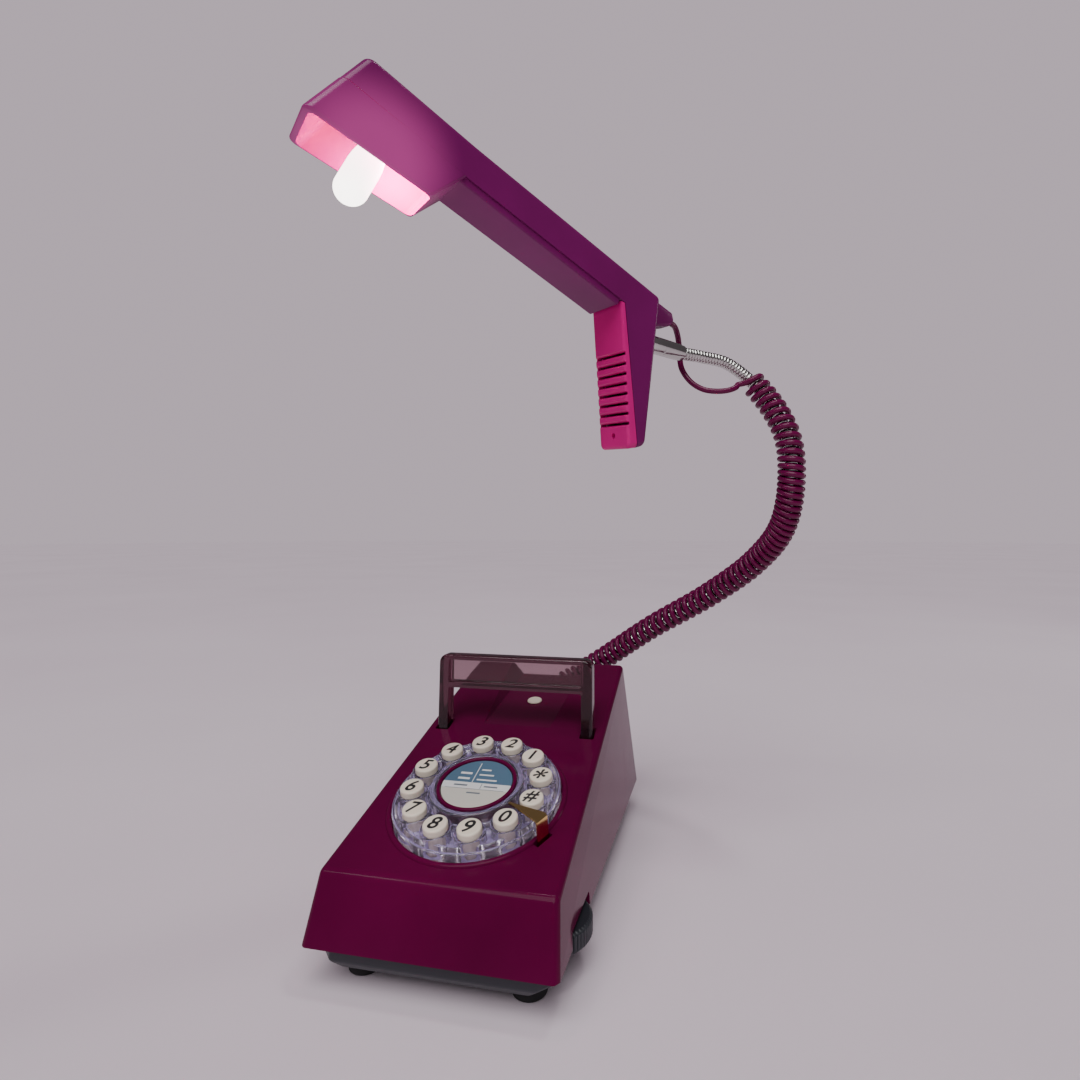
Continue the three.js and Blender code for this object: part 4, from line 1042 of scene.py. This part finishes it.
def make_handset_back():
    h = ARM_HALF
    outline = [(0, 0, h), (118, 0, h), (172.5, 0, 15.5), (176.4, SEAM, 16.3), (118, SEAM, h),
               (18.5, SEAM, h), (*LEG_SEAM, h - 0.8), (*LEG_BACK, h - 0.8)]
    body = prism(outline, [(0, 1, 4, 5), (1, 2, 3, 4), (0, 5, 6, 7)])
    body = bevelled(body, 4, 6, lambda m, e: m.x > 173 and abs(m.y) > 12 and 2 < -m.z < SEAM - 2)
    body = bevelled(body, 3, 5, lambda m, e: abs(m.y) > 12 and -m.z > LEG_BACK[1] + 0.5)
    body = bevelled(body, 2.4, 5, lambda m, e: on_outer_edge(m), 25)
    body = bevelled(body, 0.35, 2, lambda m, e: True, 50)
    arm_room = slab([(14, 3, 10.6), (167.5, 3, 12.6), (171.5, 40, 12.8), (14, 40, 10.6)])
    leg_room = slab([(2.5, 4, 10.6), (20, 4, 10.6), (30, 30, 10.6), (-10, 74, 10), (-19, 66, 10)])
    ferrule_hole = moved(drum(3.6, -9, 9, sides=32), FERRULE)
    body = cut(body, bevelled(arm_room, 1.2, 3), leg_room, ferrule_hole)
    paint_lamplight_in_shade(on_handset("handset_body", body, "handset", "handset_back"))


def on_outer_edge(m):
    """True for the edges along the handset's back, tip and toe, false along its seams."""
    depth = -m.z
    if depth < 0.5:
        return True
    leg_line = m.x - LEG_BACK[0] * depth / LEG_BACK[1]
    return leg_line < 1.0 or depth > 70 and leg_line < 3.5


FERRULE_ROOT = (-8.2, 19.8)
LEG_BACK_NORMAL = math.atan2(-LEG_BACK[0], LEG_BACK[1])
FERRULE = Matrix.Translation((FERRULE_ROOT[0], 0, -FERRULE_ROOT[1])) @ Matrix.Rotation(
    -math.pi / 2 + LEG_BACK_NORMAL, 4, "Y")


def make_handset_front():
    top = SEAM + SEAM_GAP
    panel = slab([(21.4, top, 12.6), (121, top, 12.6), (121, 19.2, 12.6), (21.4, 19.2, 12.6)])
    panel = bevelled(panel, 0.8, 3, lambda m, e: -m.z > top + 0.5)
    box = slab([(115.8, top, 14.2), (124.6, 34.4, 14.9), (182, 37.3, 16.9), (176.6, top, 16.3)])
    box = bevelled(box, 4, 6, lambda m, e: m.x > 175 and abs(m.y) > 12 and top + 2 < -m.z < 36)
    box = bevelled(box, 1.5, 5, lambda m, e: -m.z > top + 0.4, 30)
    box = bevelled(box, 0.4, 2, lambda m, e: -m.z < top + 0.4, 50)
    room = slab([(119.8, 0, 12.0), (128, 60, 13.8), (183.5, 60, 15.6), (171, 0, 13.8)])
    body = cut(united(box, panel), bevelled(room, 3, 5))
    paint_lamplight_in_shade(on_handset("handset_shade", body, "handset", "handset_front"))


def paint_lamplight_in_shade(obj):
    """Paints the faces that look into the shade a paler pink: painted lamplight, on top of the bulb's own
    light.
    """
    obj.data.materials.append(LOOKS["lamplit_shade_inside"])
    back = (TO_FRAME @ HANDSET).inverted()
    turn = back.to_3x3()
    middle = Vector((150, 0, -28))
    for polygon in obj.data.polygons:
        place = back @ polygon.center
        if place.x > 119.5 and -place.z > 2.9 and (turn @ polygon.normal).dot(middle - place) > 0:
            # these faces get the paler colour of painted lamplight
            polygon.material_index = 1


LEG_FACE_TOP = (20.7, 16.5)
LEG_FACE_ANGLE = math.atan2(LEG_FACE_TOP[0] - LEG_FRONT[0], LEG_FRONT[1] - LEG_FACE_TOP[1])
SLOTS = 8
SLOT_FIRST = 26.4
SLOT_PITCH = 5.1


def on_leg_face(bm, d):
    u = LEG_FACE_TOP[0] - d * math.sin(LEG_FACE_ANGLE)
    w = LEG_FACE_TOP[1] + d * math.cos(LEG_FACE_ANGLE)
    return moved(bm, Matrix.Translation((u, 0, -w)) @ Matrix.Rotation(LEG_FACE_ANGLE, 4, "Y"))


def groove(outline, half):
    """A cutter across the leg: its outline is given as (out from the face, along the face)."""
    return skinned([[(x, side * half, z) for x, z in outline] for side in (-1, 1)])


def make_mouthpiece():
    h = ARM_HALF
    body = slab([(*MOUTH_TOP, h), (20.9, 16.4, h), (*LEG_FRONT, h - 0.8),
                 (LEG_SEAM[0] + 0.3, LEG_SEAM[1] + 0.1, h - 0.8)])
    body = bevelled(body, 3, 5, lambda m, e: abs(m.y) > 12 and -m.z > 79.5)
    body = bevelled(body, 1.7, 5, lambda m, e: not near_leg_seam(m) and -m.z > 17, 30)
    body = bevelled(body, 0.3, 2, lambda m, e: near_leg_seam(m), 50)
    narrow = [(-9, -0.65), (3, -0.65), (3, 0.65), (-9, 0.65)]
    flare = [(-1.2, -0.7), (-0.5, -0.95), (0.1, -1.65), (4, -1.8), (4, 1.8), (0.1, 1.65), (-0.5, 0.95),
             (-1.2, 0.7)]
    steps = [SLOT_FIRST + i * SLOT_PITCH for i in range(SLOTS)]
    slots = merged(*(on_leg_face(groove(narrow, 12.2), d) for d in steps))
    shoulders = merged(*(on_leg_face(groove(flare, 15), d) for d in steps))
    hole = on_leg_face(moved(drum(1.5, -3, 4, sides=24), Matrix.Rotation(math.pi / 2, 4, "Y")), 68)
    on_handset("slotted_mouthpiece", cut(body, slots, shoulders, hole), "mouth",
               "mouthpiece")


def near_leg_seam(m):
    """True close to the line where the leg's two shells meet."""
    run = (LEG_SEAM[0] + 0.3 - MOUTH_TOP[0], LEG_SEAM[1] + 0.1 - MOUTH_TOP[1])
    across = (m.x - MOUTH_TOP[0]) * run[1] - (-m.z - MOUTH_TOP[1]) * run[0]
    return abs(across) / math.hypot(*run) < 0.7


def make_boot():
    body = slab([(-1.2, -0.2, 8.6), (-2.0, 3, 8.8), (-5.9, 13, 7), (-16, -3.2, 4.6), (-19.4, 0.2, 4.2),
                 (-18, 4.2, 4.2)])
    body = bevelled(body, 1.3, 4)
    bore = moved(drum(2.0, -14, 14, sides=24), Matrix.Translation((-17.5, 0, -1))
                 @ Matrix.Rotation(-math.pi / 2 - 12 * DEG, 4, "Y"))
    leg = slab([(0, 0, 15), (40, 0, 15), (40, 60, 15), (*LEG_BACK, 15)])
    on_handset("cord_boot_wedge", cut(body, leg, bore), "handset", "cord_boot")


def make_ferrule():
    profile = [(0, -6), (3.2, -6), (3.2, GAP), (6, GAP), (6, 1.6), *arc(5.5, 1.9, 0.5, 0, 90, 3),
               (4.9, 2.6), (4.8, 3.2), (4.8, 12.6), (4.65, 13.0), (4.65, 13.5), (4.8, 13.9), (4.7, 22),
               (4.4, 27.6), (4.1, 28.3), (3.95, 28.3), (3.95, 20), (0, 20)]
    on_handset("chrome_ferrule", lathe(profile, 64), "chrome", "neck_ferrule", FERRULE)


make_handset_back()
make_handset_front()
make_mouthpiece()
make_boot()
make_ferrule()


# ---- lamp in the earpiece ----
BULB_U = 152
BULB_R = 7.3
BULB_END = 53.6
HOLDER_END = 21


def make_lamp():
    place = Matrix.Translation((BULB_U, 0, 0))
    top = -3.35
    holder = lathe([(0, top), (9.2, top), (9.5, top - 0.3), (9.5, top - 2.6), (9.2, top - 3),
                    (7.6, top - 3.6), (7.6, -HOLDER_END + 0.4), (7.2, -HOLDER_END), (6.2, -HOLDER_END),
                    (6.2, -HOLDER_END + 5), (0, -HOLDER_END + 5)], 56)
    on_handset("porcelain_holder", holder, "porcelain", "lamp_holder", place)
    neck_z = -HOLDER_END - 4.4
    tip = -(BULB_END - BULB_R)
    bulb = lathe([(0, -HOLDER_END + 4.6), (5.8, -HOLDER_END + 4.6), (5.8, neck_z), (6.0, neck_z - 1.2),
                  (6.6, neck_z - 4), (7.1, neck_z - 6.6), (BULB_R, neck_z - 9.5),
                  *arc(0, tip, BULB_R, 0, -86, 12), (0, tip - BULB_R)], 56)
    on_handset("frosted_bulb", bulb, "lit_glass", "bulb_globe", place)


make_lamp()


# ---- finishes of the pieces that stay as the CAD part has them ----
CAD_LOOKS = {
    "ballast_slab": "steel", "plate_screw_1": "steel", "plate_screw_2": "steel", "main_board": "board",
    "tone_sounder": "black", "hook_switch": "black", "hook_lever": "black",
    "volume_pot": "steel", "dial_plate": "lilac", "keypad_mat": "rubber", "neck_locknut": "steel",
}
for node_name, look_name in CAD_LOOKS.items():
    materials = frame["nodes"][node_name].data.materials
    materials.clear()
    materials.append(LOOKS[look_name])


# ---- floor, light ----
FLOOR_R = 9000


def make_floor():
    material, tree, shader = node_material("pale_floor")
    shade = tint(tree, noise(tree, 3, 4), (0.82, 0.70, 0.785), (0.86, 0.74, 0.825))
    tree.links.new(shade, shader.inputs["Base Color"])
    shader.inputs["Roughness"].default_value = 0.9
    shader.inputs["Specular IOR Level"].default_value = 0
    floor = object_of("floor", moved(drum(FLOOR_R, -0.5, 0, sides=96), TO_FRAME))
    floor.data.materials.append(material)
    floor.location.z = -0.2 * MM


def new_light(name, kind, power):
    data = bpy.data.lights.new(name, kind)
    data.energy = power
    return new_object(name, data)


def softbox(name, place, target_z, size, power):
    """A rectangular light aimed at a point on the frame's upright axis."""
    light = new_light(name, "AREA", power)
    light.data.shape = "RECTANGLE"
    light.data.size, light.data.size_y = size
    light.location = place
    aim = Vector((0, 0, target_z)) - Vector(place)
    light.rotation_euler = aim.to_track_quat("-Z", "Y").to_euler()


def make_world():
    """Pale to the eye and through clear plastic, dimmer as a source; the softboxes give the highlights."""
    world = bpy.data.worlds.new("studio")
    world.use_nodes = True
    tree = world.node_tree
    background = tree.nodes["Background"]
    background.inputs["Color"].default_value = (0.555, 0.470, 0.530, 1)
    rays = tree.nodes.new("ShaderNodeLightPath")
    seen = tree.nodes.new("ShaderNodeMath")
    seen.operation = "MAXIMUM"
    tree.links.new(rays.outputs["Is Camera Ray"], seen.inputs[0])
    tree.links.new(rays.outputs["Is Transmission Ray"], seen.inputs[1])
    power = spread(tree, seen.outputs["Value"], 0.2, 1, 0, 1)
    tree.links.new(power, background.inputs["Strength"])
    scene.world = world


def make_sun():
    sun = new_light("wide_sun", "SUN", 2.15)
    sun.data.angle = 50 * DEG
    sun.rotation_euler = Vector((0.05, -0.62, 0.78)).to_track_quat("Z", "Y").to_euler()


def make_bulb_light():
    """The lamp's own light, just inside the shade round the bulb."""
    light = new_light("bulb_glow", "POINT", 0.085)
    light.data.color = (1.0, 0.80, 0.90)
    light.data.shadow_soft_size = 9 * MM
    light.location = TO_FRAME @ (HANDSET @ Vector((BULB_U - 14, 0, -24)))
    light.parent = frame["bodies"]["handset"]


def paint_glow_round_bulb(look, near, far, strength):
    """Paints a faint pink glow into the plastic round the lamp: emission fading with distance from the
    bulb, standing in for lamplight showing through.
    """
    tree = LOOKS[look].node_tree
    shader = tree.nodes["Principled BSDF"]
    coords = tree.nodes.new("ShaderNodeTexCoord")
    away = tree.nodes.new("ShaderNodeVectorMath")
    away.operation = "DISTANCE"
    away.inputs[1].default_value = TO_FRAME @ (HANDSET @ Vector((BULB_U, 0, -36)))
    tree.links.new(coords.outputs["Object"], away.inputs[0])
    fall = spread(tree, away.outputs["Value"], strength, 0, near * MM, far * MM, "SMOOTHSTEP")
    tree.links.new(fall, shader.inputs["Emission Strength"])
    shader.inputs["Emission Color"].default_value = (1.0, 0.16, 0.52, 1)


make_floor()
make_world()
make_sun()
softbox("left_softbox", (-0.7, -0.8, 1.1), 0.15, (0.18, 0.18), 0.9)
softbox("front_softbox", (0.1, -0.8, 1.3), 0.15, (0.16, 0.12), 0.5)
softbox("top_softbox", (0.35, 0, 1.35), 0.15, (0.15, 0.15), 1.5)
softbox("right_softbox", (1.1, 0.7, 0.5), 0.2, (0.2, 0.3), 0.7)
make_bulb_light()
# painted glow: pink emission on the handset plastic near the bulb
paint_glow_round_bulb("handset", 18, 44, 0.30)
